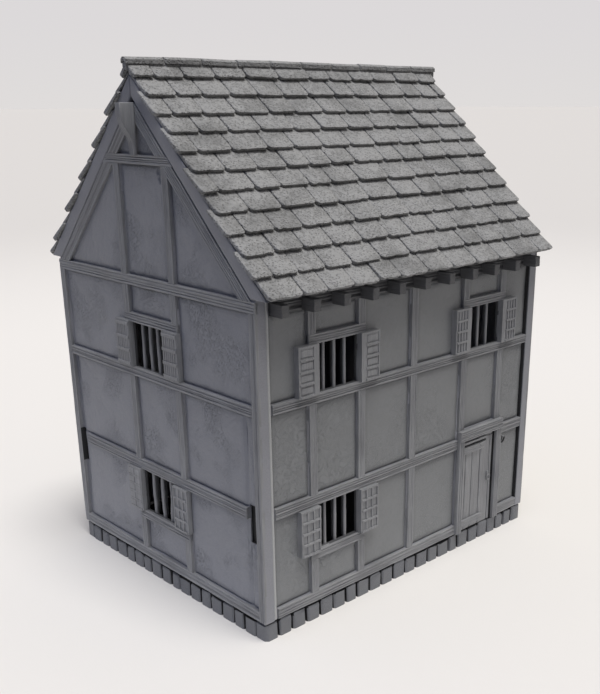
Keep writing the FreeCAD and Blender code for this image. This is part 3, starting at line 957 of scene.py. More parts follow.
@dataclass
class LongWall(Wall):
    """The front or the back wall, between the two gables."""
    has_door: bool = False
    inner: float = 58.8  # half its length, between the gables
    end_gap: float = 1.5  # level timbers stop this short of the left gable
    strip: float = 1.05  # width of the pale strip against the left gable: a painted highlight
    far_gap: float = 0.35  # width of the deep joint against the right gable
    far_depth: float = 1.9
    ring_hole: tuple[float, ...] = (48.5, 29.2, 0.5, 1.1)  # worn behind the door's ring
    studs: tuple[float, ...] = (-42.5, -23.0, 0.0, 24.8, 44.3)
    near: float = -41.1  # left edge of the near windows
    far: float = 26.2  # left edge of the far windows
    door: Point = (23.15, 46.35)  # outer edges of the door frame
    door_head: float = 38.0

    def windows(self) -> list[Window]:
        """Two windows over each other at the near end, and one or two at the far end.

        Returns:
            The windows, upper before lower.
        """
        level = self.shell.levels
        upper = (level.middle_rail_top, level.lintel - level.middle_rail_top)
        lower = (level.window_sill, level.lower_rail - level.window_sill)
        found = [Window(self.near, *upper), Window(self.near, *lower), Window(self.far, *upper)]
        return found if self.has_door else found + [Window(self.far, *lower)]

    def core(self) -> Piece:
        """The panel, with the deep joint at its right end drawn near-black as painted shade, and
        a pale strip at its left as a painted highlight.

        Returns:
            The core, on the bench.
        """
        piece = super().core()
        level, edge = self.shell.levels, self.inner - self.far_gap
        with editing(piece):
            for across in (edge, edge + 0.12):
                slice_at(across * ACROSS, ACROSS)
            push(piece, lambda p: p.x > edge + 0.1 and p.z > -self.REVEAL,
                 (0.0, 0.0, -self.far_depth))
        # painted shade: the deep joint at the right end is drawn near-black
        darken(piece, lambda m: m.x > edge + 0.05)
        deep = self.far_depth + 1.4
        # painted shade: a near-black liner down the side of the deep joint
        liner = slot_liner((0.12, level.plate - level.sill, deep),
                           (self.inner - 0.06, (level.plate + level.sill) / 2, -0.25 - deep / 2))
        # painted highlight: a pale strip against the left gable stands for the light on its arris
        strip = block((self.strip, level.shoulder - 0.4, 1.6),
                      (self.strip / 2 - self.inner, level.shoulder / 2, -0.95))
        soften(strip, lambda a, b: abs(a.y - b.y) > 1.0 and max(a.z, b.z) > -0.5, 0.35, 3)
        return join([piece, Finish.EDGE.on(strip), liner], f"{self.node}_core")

    def _columns(self) -> list[Point]:
        """The spaces between the studs, from left to right.

        Returns:
            Left and right edge of each.
        """
        half = self.shell.stud / 2
        edges = [-self.inner, *(e for s in self.studs for e in (s - half, s + half)), self.inner]
        return list(zip(edges[0::2], edges[1::2]))

    def timbers(self) -> list[Timber]:
        """Sill, rails and plate from end to end, studs and window timbers between them.

        Returns:
            The timbers.
        """
        level, half = self.shell.levels, self.shell.stud / 2
        left, right = -self.inner + self.end_gap, self.inner
        door_left, door_right = self.door
        # the wall plate, under the eaves, is drawn dark: painted shade
        made = [Timber.level(left, right, level.middle_rail, level.middle_rail_top),
                Timber.level(left, right, level.plate, level.shoulder, finish=Finish.EAVES)]
        for bottom, top in ((0.0, level.sill), (level.lower_rail, level.lower_rail_top)):
            if self.has_door:
                made += [Timber.level(left, door_left, bottom, top),
                         Timber.level(door_right, right, bottom, top)]
            else:
                made.append(Timber.level(left, right, bottom, top))
        for window in self.windows():
            upper = window.foot > level.middle_rail
            bottom, top = ((level.lintel, level.lintel_top) if upper
                           else (level.window_sill_foot, level.window_sill))
            made.append(Timber.level(window.left - self.shell.stud,
                                     window.right + self.shell.stud, bottom, top))
        for number, middle in enumerate(self.studs):
            near, far = number < 2, number > 2
            spans = [(level.lower_rail_top, level.middle_rail)]
            spans += ([(level.middle_rail_top, level.lintel), (level.lintel_top, level.plate)]
                      if near or far else [(level.middle_rail_top, level.plate)])
            if far and self.has_door:
                spans[0] = (self.door_head, level.middle_rail)
            elif near or far:
                spans += [(level.sill, level.window_sill_foot),
                          (level.window_sill, level.lower_rail)]
            else:
                spans.append((level.sill, level.lower_rail))
            made += [Timber.upright(middle - half, middle + half, *span) for span in spans]
        return made

    def bays(self) -> list[Bay]:
        """Three rows of plaster between the studs, cut short by windows and door.

        Returns:
            The plaster fields.
        """
        level = self.shell.levels
        made = []
        ends = {0: {"tuck_left": -self.strip}, 5: {"tuck_right": -self.far_gap}}
        for number, (left, right) in enumerate(self._columns()):
            window = number in (1, 4)
            more = ends.get(number, {})
            middle_foot, low = level.lower_rail_top, (left, right)
            if self.has_door:
                # the door frame stands in the fifth column and cuts into its neighbours
                low = {3: (left, min(right, self.door[0])),
                       5: (max(left, self.door[1]), right)}.get(number, low)
            if self.has_door and number == 4:
                middle_foot = self.door_head
            else:
                hole = {"chip": self.ring_hole} if number == 5 and self.has_door else {}
                made.append(Bay(*low, level.sill,
                                level.window_sill_foot if window else level.lower_rail,
                                **more, **hole))
            made.append(Bay(left, right, middle_foot, level.middle_rail, **more))
            made.append(Bay(left, right, level.lintel_top if window else level.middle_rail_top,
                            level.plate, **more))
        return made


@dataclass
class GableWall(Wall):
    """A gable wall with its attic, up to the blunt top under the ridge."""
    roughness: float = 0.45
    studs: Point = (-11.1, 13.8)
    post: float = 2.7
    rafter: float = 3.5
    apex: float = 144.4  # where the two slopes would meet
    blunt: float = 142.95
    slots: Point = (1.3, 4.1)  # width of the open slot beside the left and the right post
    undercut: float = 1.2  # how much wider the slots are at the back
    short: float = 3.2  # the lower rail ends this far from the left slot
    slot_foot: float = 23.9
    slot_head: float = 35.9
    slope_gap: float = 0.4  # open joint between the rafters and the roof
    chip: tuple[float, ...] = (10.2, 123.8, 0.8, 2.3)  # broken out under the collar

    @property
    def _bay(self) -> Point:
        """The space between the two studs."""
        half = self.shell.stud / 2
        return self.studs[0] + half, self.studs[1] - half

    def windows(self) -> list[Window]:
        """One window over the other, against the left stud."""
        level, left = self.shell.levels, self._bay[0]
        return [Window(left, level.middle_rail_top, level.lintel - level.middle_rail_top),
                Window(left, level.window_sill, level.lower_rail - level.window_sill)]

    def core(self) -> Piece:
        """The panel, with the slots beside its posts widened, undercut and drawn near-black as
        painted shade.

        Returns:
            The core, on the bench.
        """
        piece = super().core()
        inner, back = self.shell.half_depth - self.post, 0.05 - self.shell.panel
        cut = 1.0  # the slots' width in the solid

        def at_slot(place: Vector) -> bool:
            """Whether a place is as high as the slots."""
            return self.slot_foot - 0.1 < place.y < self.slot_head + 0.1

        with editing(piece):
            for hand, width in zip((-1.0, 1.0), self.slots):
                edge = hand * (inner - cut)
                for floor, more in ((0.1, width - cut), (-3.0, self.undercut)):
                    push(piece, lambda p: (abs(p.x - edge) < 0.05 or p.z < -3.0
                                           and abs(p.x - edge + hand * (width - cut)) < 0.05)
                         and at_slot(p) and back < p.z < floor, (-hand * more, 0.0, 0.0))
        # painted shade: the faces in the deep slots are drawn near-black
        darken(piece, lambda m: abs(m.x) > inner - max(self.slots) - self.undercut
               and at_slot(m) and back < m.z < -1.7)
        level, end = self.shell.levels, self.slots[0] + self.short - inner
        with editing(piece):
            for across in (end, end - 0.1):
                slice_at(across * ACROSS, ACROSS)
            push(piece, lambda p: 0.05 - inner < p.x < end - 0.05 and p.z > -0.9
                 and level.lower_rail - 0.1 < p.y < level.lower_rail_top + 0.1,
                 (0.0, 0.0, -1.0))
        height = self.slot_head - self.slot_foot
        # painted shade: a near-black liner down the side of the left slot
        liner = slot_liner((0.12, height, 3.0),
                           (0.06 - inner, self.slot_foot + height / 2, -1.65))
        return join([piece, liner], f"{self.node}_core")

    def _slopes(self, inset: float) -> tuple[Cut, ...]:
        """The planes along the two slopes of the gable, so far inside them."""
        normals = [Vector((hand, 1.0, 0.0)).normalized() for hand in (-1.0, 1.0)]
        return tuple((self.apex * UP - normal * inset, normal) for normal in normals)

    def timbers(self) -> list[Timber]:
        """Corner posts, rails between them, studs, tie beam, rafters and collar.

        Returns:
            The timbers.
        """
        level, half, wide = self.shell.levels, self.shell.stud / 2, self.shell.half_depth
        inner = wide - self.post
        made = [Timber.upright(-wide, -inner, 0.0, level.tie_beam),
                Timber.upright(inner, wide, 0.0, level.tie_beam),
                Timber.level(-inner, inner, 0.0, level.sill),
                Timber.level(-inner + self.slots[0] + self.short, inner - self.slots[1],
                             level.lower_rail, level.lower_rail_top),
                Timber.level(-inner, inner, level.middle_rail, level.middle_rail_top),
                Timber.level(-wide, wide, level.tie_beam, level.tie_beam_top),
                Timber.level(-20.0, 20.0, level.collar, level.collar_top,
                             cuts=self._slopes(0.0))]
        for middle in self.studs:
            for span in ((level.sill, level.window_sill_foot),
                         (level.window_sill, level.lower_rail),
                         (level.lower_rail_top, level.middle_rail),
                         (level.middle_rail_top, level.lintel),
                         (level.lintel_top, level.tie_beam),
                         (level.tie_beam_top, level.collar)):
                cuts = () if span[1] < level.shoulder else self._slopes(self.rafter - 0.3)
                made.append(Timber.upright(middle - half, middle + half, *span, cuts=cuts))
        for bottom, top in ((level.lintel, level.lintel_top),
                            (level.window_sill_foot, level.window_sill)):
            made.append(Timber.level(self.studs[0] - half, self.studs[1] + half, bottom, top))
        middle_line = self.apex - (self.slope_gap + self.rafter / 2) * math.sqrt(2.0)
        for hand in (-1.0, 1.0):
            for low, high in ((level.tie_beam_top, level.collar),
                              (level.collar_top, self.blunt)):
                spare = 4.0  # each end is sawn to its level or to the middle line
                foot = (hand * (middle_line - low + spare), low - spare)
                head = (hand * (middle_line - high - spare), high + spare)
                cuts = ((low * UP, -UP), (high * UP, UP))
                if low > level.collar:
                    cuts += ((0.0 * UP, -hand * ACROSS),)
                made.append(Timber(foot, head, self.rafter, cuts=cuts))
        return made

    def bays(self) -> list[Bay]:
        """Plaster between posts and studs, beside the windows, and in the attic.

        Returns:
            The plaster fields.
        """
        level, half, wide = self.shell.levels, self.shell.stud / 2, self.shell.half_depth
        inner = wide - self.post
        in_left, in_right = self._bay
        out_left, out_right = self.studs[0] - half, self.studs[1] + half
        window_right = self.windows()[0].right
        made = []
        for bottom, top in ((level.sill, level.lower_rail),
                            (level.lower_rail_top, level.middle_rail)):
            # the bay stops at the slot, and a narrow strip fills what is over or under it
            near, far = self.slots
            made += [Bay(-inner + near, out_left, bottom, top, tuck_left=0.0),
                     Bay(out_right, inner - far, bottom, top, tuck_right=0.0)]
            over = bottom > level.lower_rail
            low, high = (self.slot_head, top) if over else (bottom, self.slot_foot)
            ends = {"tuck_bottom": 0.0} if over else {"tuck_top": 0.0}
            made += [Bay(-inner, -inner + near, low, high, tuck_right=0.0, **ends),
                     Bay(inner - far, inner, low, high, tuck_left=0.0, **ends)]
        made += [Bay(-inner, out_left, level.middle_rail_top, level.tie_beam),
                 Bay(out_right, inner, level.middle_rail_top, level.tie_beam),
                 Bay(in_left, in_right, level.sill, level.window_sill_foot),
                 Bay(in_left, in_right, level.lower_rail_top, level.middle_rail),
                 Bay(in_left, in_right, level.lintel_top, level.tie_beam),
                 Bay(window_right, in_right, level.window_sill, level.lower_rail, tuck_left=0.0),
                 Bay(window_right, in_right, level.middle_rail_top, level.lintel, tuck_left=0.0)]
        near = -inner + self.slots[0]
        made.append(Bay(near, near + self.short, level.lower_rail, level.lower_rail_top,
                        tuck_left=0.0, tuck_bottom=0.0, tuck_top=0.0))
        edge = self.rafter - 0.25
        slopes = self._slopes(edge)
        low, high = level.tie_beam_top, level.collar
        reach = self.apex - low - edge
        made += [Bay(-reach, out_left, low, high, cuts=slopes),
                 Bay(in_left, in_right, low, high, chip=self.chip, cuts=slopes),
                 Bay(out_right, reach, low, high, cuts=slopes),
                 Bay(-12.0, 12.0, level.collar_top, self.apex - edge, cuts=slopes)]
        return made


# ---------------------------------------------------------------- windows
class BarKind(Enum):
    """How the bars of a window are made: their thickness and how crooked they are, in mm."""
    TURNED = (1.06, 0.03)
    GNARLED = (1.3, 0.12)


@dataclass
class WindowBars:
    """The upright bars that close the windows of one wall."""
    wall: Wall
    kind: BarKind
    shares: tuple[float, ...] = (0.24, 0.49, 0.74)
    shifted: dict[int, tuple[float, ...]] = field(default_factory=dict)
    axis_depth: float = -1.8  # the bars stand in the middle of the wall's thickness
    bedding: float = 0.5  # how far each end runs into the timber
    web: Point = (0.5, 1.3)  # width and depth
    SIDES = 10
    JOINTS = 9

    def bar(self, height: float, rng: random.Random) -> Piece:
        """Draw one bar up from its foot, a stretch at a time.

        Args:
            height: Its length.
            rng: Makes each bar crooked in its own way.

        Returns:
            The bar, standing along Y.
        """
        thickness, crook = self.kind.value
        clear_selection()
        bpy.ops.mesh.primitive_circle_add(vertices=self.SIDES, radius=thickness / 2,
                                          fill_type="NGON")
        piece = bpy.context.object
        with editing(piece, "FACE"):
            pick_all()
            for _ in range(self.JOINTS):
                extrude((rng.uniform(-crook, crook), rng.uniform(-crook, crook),
                         height / self.JOINTS))
                swell = 1.0 + rng.uniform(-crook, crook)
                bpy.ops.transform.resize(value=(swell, swell, 1.0))
            pick_all()
            bpy.ops.mesh.normals_make_consistent(inside=False)
        return set_down(piece, rotation(-90.0, "X"))

    def build(self) -> None:
        """Set three bars in every window of the wall."""
        rng = random.Random(f"{self.wall.node} bars")
        made = []
        for number, window in enumerate(self.wall.windows()):
            for share in self.shifted.get(number, self.shares):
                across = window.left + share * window.width
                bar = self.bar(window.height + 2 * self.bedding, rng)
                made.append(Finish.TIMBER.on(set_down(bar, Matrix.Translation(
                    (across, window.foot - self.bedding, self.axis_depth)))))
                # the mould leaves a thin web behind each bar, drawn dark: painted shade
                web = block((self.web[0], window.height + 0.2, self.web[1]),
                            (across, window.foot + window.height / 2,
                             self.axis_depth - self.web[1] / 2))
                soften(web, lambda a, b: abs(a.y - b.y) > 1.0, 0.1)
                made.append(Finish.EAVES.on(web))
        bars = join(made, f"{self.wall.side.title}_window_bars")
        lay_grain(bars)
        hand_over(bars, self.wall.bench, angle=50.0)


class ShutterKind(Enum):
    """The patterns of shutter on the house, each with its rows and columns of panels."""
    PANELLED = (4, 1)  # framed panels over each other
    RIBBED = (4, 4)  # framed panels with fine upright ribs
    LATTICE = (4, 3)  # a lattice of small squares
    BATTENED = (1, 7)  # fine planks under battens
    STACKED = (5, 2)  # two columns of flat blocks


@dataclass
class Shutter:
    """One shutter leaf, opened flat against the wall. Sizes in millimetres."""
    kind: ShutterKind
    width: float = 7.6
    height: float = 14.6
    thickness: float = 1.2
    stile: float = 2.0
    border: float = 0.5
    rail: float = 0.6
    sink: float = 0.3
    ledge: float = 0.2  # how far the ledge under each panel stands out
    bedded: float = 0.95  # how far the leaf reaches back to the plaster

    def _panels(self, start: float, end: float, count: int) -> list[Point]:
        """First and last edges of a row of panels, with a rail between each two.

        Args:
            start: Where the row starts.
            end: Where it ends.
            count: Number of panels.

        Returns:
            The two edges of each panel.
        """
        clear = (end - start - (count - 1) * self.rail) / count
        edges = [start + i * (clear + self.rail) for i in range(count)]
        return [(edge, edge + clear) for edge in edges]

    def leaf(self, rng: random.Random) -> Piece:
        """Carve the leaf, with its foot left at the origin and the window on its right.

        Args:
            rng: Makes each leaf slightly uneven.

        Returns:
            The leaf.
        """
        piece = block((self.width, self.height, self.thickness + self.bedded),
                      (self.width / 2, self.height / 2, (self.thickness - self.bedded) / 2))
        rows, columns = self.kind.value
        planked = self.kind is ShutterKind.BATTENED
        framed = self.kind in (ShutterKind.PANELLED, ShutterKind.RIBBED)
        right = self.width - (self.stile if framed else self.border)
        if planked:
            plank = (self.width - 0.2) / columns
            xs = [(i * plank + 0.22, (i + 1) * plank) for i in range(columns)]
            ys = [(0.2, self.height - 0.2)]
        else:
            xs = self._panels(self.border, right, columns)
            ys = self._panels(self.rail, self.height - self.rail, rows)
        with editing(piece, "FACE"):
            for spans, way in ((xs, ACROSS), (ys, UP)):
                for place in sorted({edge for span in spans for edge in span}):
                    slice_at(place * way, way)
            pick_faces(piece, lambda m, n: n.z > 0.9 and any(a < m.x < b for a, b in xs)
                       and any(a < m.y < b for a, b in ys))
            self._carve()
            if not planked:
                # a ledge under each panel catches the light
                pick_faces(piece, lambda m, n: n.z > 0.9 and m.z > self.thickness - TOUCH
                           and not any(a < m.y < b for a, b in ys)
                           and m.y < self.height - self.rail and self.border < m.x < right)
                extrude((0.0, 0.0, self.ledge))
            pick_all()
            roughen(0.05, rng)
        battens = [self._batten(share * self.height) for share in (0.08, 0.36, 0.64, 0.93)
                   if planked]
        return join([piece, *battens], "shutter_leaf")

    def _carve(self) -> None:
        """Carve the selected panels in the leaf's own pattern."""
        if self.kind is ShutterKind.BATTENED:
            # rounded planks stand between the cuts
            bpy.ops.mesh.inset(thickness=0.06, depth=0.14, use_individual=True)
            return
        if self.kind is ShutterKind.STACKED:
            bpy.ops.mesh.inset(thickness=0.12, depth=0.2, use_individual=True)
            return
        deep = self.sink * (0.7 if self.kind is ShutterKind.PANELLED else 1.0)
        bpy.ops.mesh.inset(thickness=0.05, depth=-deep, use_individual=True)
        if self.kind is ShutterKind.PANELLED:
            bpy.ops.mesh.inset(thickness=0.4, depth=0.0, use_individual=True)
            bpy.ops.mesh.inset(thickness=0.14, depth=0.16, use_individual=True)

    def _batten(self, level: float) -> Piece:
        """A batten across the planks.

        Args:
            level: Height of its middle.

        Returns:
            The batten.
        """
        tall, proud = 1.0, 0.42
        piece = block((self.width - 0.3, tall, proud + 0.4),
                      (self.width / 2, level, self.thickness + (proud - 0.4) / 2))
        soften(piece, lambda a, b: min(a.z, b.z) > self.thickness, 0.12)
        return piece


@dataclass
class ShutterPair:
    """The two open shutters of one window."""
    wall: Wall
    window: Window
    node: str
    left: ShutterKind
    right: ShutterKind
    width: float = 7.6
    proud: float = 1.2
    gaps: Point = (0.0, 0.0)  # how far each leaf stands clear of the opening

    def build(self) -> None:
        """Carve both leaves and hang them."""
        rng = random.Random(self.node)
        first, second = (Shutter(kind, self.width, thickness=self.proud).leaf(rng)
                         for kind in (self.left, self.right))
        left = self.window.left - self.width - self.gaps[0]
        right = self.window.right + self.width + self.gaps[1]
        set_down(first, Matrix.Translation((left, self.window.foot, 0.0)))
        set_down(second, Matrix.Translation((right, self.window.foot, 0.0))
                 @ Matrix.Scale(-1.0, 4, ACROSS))
        second.data.flip_normals()
        pair = Finish.TIMBER.on(join([first, second], f"{self.node}_carved"))
        lay_grain(pair)
        hand_over(pair, self.wall.bench, self.node, angle=20.0)


# ---------------------------------------------------------------- door
@dataclass
class DoorFrame:
    """Two jambs and a deeply grooved lintel, proud of the front wall. In millimetres."""
    wall: LongWall
    jamb: float = 2.6
    jamb_proud: float = 1.0
    height: float = 34.4
    lintel_proud: float = 1.5
    rooted: float = 0.4  # how far it is let into the wall

    def build(self) -> None:
        """Hew the three timbers and set them up."""
        rng = random.Random("door frame")
        left, right = self.wall.door
        jambs = [Timber.upright(edge, edge + self.jamb, 0.0, self.height, face=self.jamb_proud,
                                depth=self.jamb_proud + self.rooted)
                 for edge in (left, right - self.jamb)]
        lintel = Timber.level(left, right, self.height, self.wall.door_head,
                              face=self.lintel_proud, depth=self.lintel_proud + self.rooted,
                              rib=(self.wall.door_head - self.height) / 6)
        made = [part.hew(rng) for part in (*jambs, lintel)]
        hand_over(join(made, "door_frame_hewn"), self.wall.bench, "door_frame")


@dataclass
class PlankDoor:
    """The closed plank door with battens, nails, pull and a ring beside it. In millimetres."""
    wall: LongWall
    left: float = 25.85
    right: float = 42.75
    gap: float = 0.92  # left open towards the right jamb
    foot: float = 0.1
    head: float = 32.6
    opening_head: float = 34.3  # of the frame's opening, over the leaf
    face: float = -0.2
    thickness: float = 1.6
    joints: tuple[float, ...] = (2.2, 5.7, 10.2, 15.5)
    batten_left: float = 26.35
    batten_length: float = 11.0
    batten_levels: Point = (1.6, 29.0)
    batten_height: float = 2.4
    batten_proud: float = 0.8
    pull: Point = (40.5, 17.4)
    ring: Point = (48.4, 30.2)

    def planks(self, rng: random.Random) -> list[Piece]:
        """The planks, side by side, with joints between them that are near-black with painted
        shade.

        Args:
            rng: Makes each plank's grain its own.

        Returns:
            The planks, and the board behind their joints and the liner of the gap, both drawn
            near-black as painted shade.
        """
        width, height, half_joint = self.right - self.left, self.opening_head - self.foot, 0.13
        edges = [0.0, *self.joints, width]
        made = [Timber.upright(self.left + a + half_joint, self.left + b - half_joint,
                               self.foot, self.head, face=self.face,
                               depth=self.thickness - 0.4, arris=0.14, rib=4.0).hew(rng)
                for a, b in zip(edges, edges[1:])]
        middle, deep = self.foot + height / 2, self.thickness - 0.5
        # painted shade: the board behind the joints is drawn near-black
        back = block((width + self.gap, height, deep),
                     (self.left + (width + self.gap) / 2, middle, self.face - 0.5 - deep / 2))
        soften(back, lambda a, b: True, 0.05, 1)
        head = Timber.level(self.left, self.right - 0.1, self.head + 0.1, self.opening_head - 0.1,
                            face=self.face - 0.15, depth=1.0, groove=0.1).hew(rng)
        # painted shade: a near-black liner in the gap by the right jamb
        liner = slot_liner((0.1, height, 0.9), (self.right + self.gap, middle, -0.65))
        return made + [head, Finish.SLOT.on(back), liner]

    def battens(self, rng: random.Random) -> list[Piece]:
        """Two battens with three pairs of nails each, the rough strip at the head, and painted
        shadow round the upper batten.

        Args:
            rng: Makes each batten's grain its own.

        Returns:
            The battens, the strip, the nails and the near-black patches of painted shadow.
        """
        made = []
        left, length, face = self.batten_left, self.batten_length, self.face + self.batten_proud
        for level in self.batten_levels:
            made.append(Timber.level(left, left + length, level, level + self.batten_height,
                                     face=face, depth=self.batten_proud + 0.2,
                                     groove=0.15).hew(rng))
            made += [self._nail(left + share * length, level + up * self.batten_height, face)
                     for share in (0.12, 0.46, 0.8) for up in (0.3, 0.7)]
        # painted shadow: near-black patches over the upper batten's top and down its left end,
        # where the groove round it lies in shade
        top = self.batten_levels[1] + self.batten_height
        shadow_patches = []
        for near, far, low, high in ((left - 0.3, left + length + 1.5, top - 0.2, top + 0.75),
                                     (left - 0.4, left + 0.2, top - 3.4, top)):
            patch = sheet(far - near, high - low, 0.6, max(2, round((far - near) / 0.3)), 3)
            with editing(patch):
                pick_points(patch, lambda p: p.z > -0.3)
                roughen(0.18, rng)
            shadow_patches.append(Finish.SLOT.on(set_down(patch, Matrix.Translation(
                ((near + far) / 2, (low + high) / 2, self.face + 0.12)))))
        strip = Timber.level(left + 0.4, left + length + 1.6, top + 0.8, top + 1.7,
                             face=face - 0.2, depth=0.6).hew(rng)
        CHISEL.press(strip, rng)
        return made + [strip] + shadow_patches

    @staticmethod
    def _nail(across: float, up: float, face: float) -> Piece:
        """A domed nail head.

        Args:
            across: Its place along the wall.
            up: Its height.
            face: Level of the wood it is driven into.

        Returns:
            The nail head.
        """
        clear_selection()
        bpy.ops.mesh.primitive_cylinder_add(vertices=8, radius=0.24, depth=0.34,
                                            location=(across, up, face - 0.05))
        nail = bpy.context.object
        bpy.ops.object.transform_apply()
        soften(nail, lambda a, b: min(a.z, b.z) > face, 0.08)
        return Finish.TIMBER.on(nail)

    def furniture(self) -> list[Piece]:
        """The door's pull, and the ring that hangs on the plaster to its right.

        Returns:
            The pull with its plate, the ring drawn near-black as painted shade, and the staple
            that holds it.
        """
        across, up = self.pull
        plate = block((0.9, 3.4, 0.5), (across, up, self.face + 0.1))
        soften(plate, lambda a, b: min(a.z, b.z) > self.face, 0.14)
        pull = self._hoop(0.75, 0.2, 20, (across, up - 0.2, 0.5), (up - 0.2, -0.1))
        across, up = self.ring
        ring = self._hoop(0.85, 0.3, 24, (across, up - 0.9, 0.1), (up - 1.0, -0.3))
        staple = block((0.8, 0.8, 1.5), (across, up, -0.35))
        soften(staple, lambda a, b: min(a.z, b.z) > -0.7, 0.25)
        # painted shade: the ring is drawn near-black, for the shadow round it
        return [*map(Finish.TIMBER.on, (plate, pull, staple)), Finish.SLOT.on(ring)]

    @staticmethod
    def _hoop(radius: float, thick: float, segments: int, middle: Place, bow: Point) -> Piece:
        """A ring, drawn out into a stirrup.

        Args:
            radius: Its radius.
            thick: Half its thickness.
            segments: Number of facets round it.
            middle: Its middle.
            bow: Below which height it is drawn out, and how far outwards.

        Returns:
            The ring.
        """
        clear_selection()
        bpy.ops.mesh.primitive_torus_add(major_segments=segments, minor_segments=8,
                                         major_radius=radius, minor_radius=thick,
                                         location=middle)
        hoop = bpy.context.object
        bpy.ops.object.transform_apply()
        with editing(hoop):
            push(hoop, lambda p: p.y < bow[0], (0.0, -0.5, bow[1]))
        return hoop

    def build(self) -> None:
        """Make the door and hang it, closed."""
        rng = random.Random("plank door")
        made = self.planks(rng) + self.battens(rng) + self.furniture()
        hand_over(join(made, "door_planked"), self.wall.bench, "door")


# ---------------------------------------------------------------- joists and bracket
@dataclass
class JoistEnds:
    """The row of joist ends under one eaves. Sizes in millimetres."""
    wall: LongWall
    count: int = 11
    first: float = -57.3
    pitch: float = 11.2
    width: float = 2.6
    height: float = 3.4
    foot: float = 90.3
    reach: float = 5.0
    arris: float = 0.22

    def build(self) -> None:
        """Saw the joists off with a ragged end and set them along the wall plate."""
        node = f"{self.wall.side.title}_joist_ends"
        rng = random.Random(node)
        made = []
        for number in range(self.count):
            left = self.first + self.pitch * number
            joist = sheet(self.width, self.height, self.reach + 0.3, 9, 12)
            soften(joist, rim_of(self.width, self.height), self.arris)
            CHISEL.press(joist, rng)
            lay_grain(joist, lambda p: (p.z + 9.0 * number, p.x, p.y))
            made.append(set_down(joist, Matrix.Translation(
                (left + self.width / 2, self.foot + self.height / 2, self.reach - 0.12))))
        # painted shade: the joist ends under the eaves are drawn dark
        hand_over(Finish.EAVES.on(join(made, f"{node}_sawn")), self.wall.bench, node)


@dataclass
class KneeBracket:
    """The curved knee under one end of the ridge, with grooves down its face."""
    shell: Shell
    side: Side
    grooves: Point = (-0.42, 0.48)
    groove_width: float = 0.2
    groove_depth: float = 0.22
    arris: float = 0.22

    def build(self) -> None:
        """Groove and round the knee."""
        node = f"{self.side.title}_gable_bracket"
        bench = self.shell.bench(self.side)
        piece = carved_copy(node, bench)
        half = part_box(node)[1].y / MM - TOUCH
        soften(piece, lambda a, b: (abs(a.x) > half and abs(b.x) > half
                                    and a.x * b.x > 0 and max(a.z, b.z) > 0.2), self.arris)
        with editing(piece, "EDGE"):
            for middle in self.grooves:
                for step in (-1, 0, 1):
                    slice_at((middle + step * self.groove_width) * ACROSS, ACROSS)
            pick_edges(piece, lambda a, b: any(
                abs(a.x - g) < TOUCH and abs(b.x - g) < TOUCH for g in self.grooves)
                and min(a.z, b.z) > 0.3)
            bpy.ops.transform.shrink_fatten(value=-self.groove_depth)
        lay_grain(piece)
        hand_over(join([Finish.TIMBER.on(piece)], f"{node}_grooved"), bench, node, angle=40.0)


# ---------------------------------------------------------------- plinth
@dataclass
class PlinthCourse:
    """The row of upright stones under one wall, bedded against a backing strip."""
    shell: Shell
    side: Side
    stones: int
    thickness: float = 4.4
    backing: float = 1.6  # how far the mortar lies behind the stones' faces
    joint: float = 0.5
    rounding: float = 0.9
    unevenness: float = 0.24

    def _stone(self, width: float, rng: random.Random) -> Piece:
        """Dress one stone, its foot at the origin and its face up.

        Args:
            width: Its width.
            rng: Makes each stone its own.

        Returns:
            The stone.
        """
        drop = rng.uniform(0.3, 0.8)
        height = self.shell.plinth - drop
        piece = block((width, height, self.thickness), (0.0, height / 2, -self.thickness / 2))
        with editing(piece):
            pick_points(piece, lambda p: p.z > -TOUCH)
            bpy.ops.transform.resize(value=(0.97, 1.0, 1.0))
            pick_points(piece, lambda p: p.z > -TOUCH and p.y > height / 2
                        and p.x * (1 if rng.random() > 0.5 else -1) > 0)
            bpy.ops.transform.translate(value=(0.0, -rng.uniform(0.1, 0.5), -0.15))
        soften(piece, lambda a, b: max(a.z, b.z) > -TOUCH and max(a.y, b.y) > 0.3,
               self.rounding * rng.uniform(0.7, 1.1), 3)
        with editing(piece):
            pick_points(piece, lambda p: p.y > 0.3 and p.z > -self.backing)
            roughen(self.unevenness, rng)
        return Finish.STONE.on(piece)

    def build(self) -> None:
        """Dress the stones and set them side by side."""
        node = f"{self.side.title}_plinth"
        is_long = self.side in (Side.FRONT, Side.BACK)
        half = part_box(node)[1][0 if is_long else 1] / MM
        rng = random.Random(node)
        widths = [rng.uniform(0.86, 1.16) for _ in range(self.stones)]
        scale = 2 * half / sum(widths)
        made, left = [], -half
        for number, share in enumerate(widths):
            width = share * scale
            stone = self._stone(width - self.joint, rng)
            corner = {0: -1.0, self.stones - 1: 1.0}.get(number, 0.0)
            if is_long and corner:
                # the outer corner is taken off at the corner of the house
                with editing(stone):
                    slice_at(Vector((corner * (width / 2 - 0.7), 0.0, -0.55)),
                             Vector((corner, 0.0, 1.0)), drop=True)
            # painted shade: down in the joints the stones get no light, so their faces there are
            # drawn near-black; at the house's corners they are not
            darken(stone, lambda m: m.z < -0.5 and m.x * corner <= 0.0
                   and (abs(m.x) > 0.42 * width or m.y > 4.0))
            made.append(set_down(stone, Matrix.Translation((left + width / 2, 0.0, 0.0))))
            left += width
        tall = self.shell.plinth - 0.9
        mortar = block((2 * half - 1.2, tall, self.thickness - self.backing),
                       (0.0, tall / 2, -(self.thickness + self.backing) / 2))
        soften(mortar, lambda a, b: max(a.z, b.z) > -self.backing - TOUCH, 0.2)
        # painted shade: the mortar behind the stones is drawn near-black
        course = join(made + [Finish.SLOT.on(mortar)], f"{node}_stones")
        with editing(course):
            # every foot is cut flat, level with the table
            pick_points(course, lambda p: p.y < 0.0)
            bpy.ops.transform.resize(value=(1.0, 0.0, 1.0), center_override=(0.0, 0.0, 0.0))
        bench = self.shell.bench(self.side) @ Matrix.Translation(-self.shell.plinth * UP)
        hand_over(course, bench, node, angle=45.0)


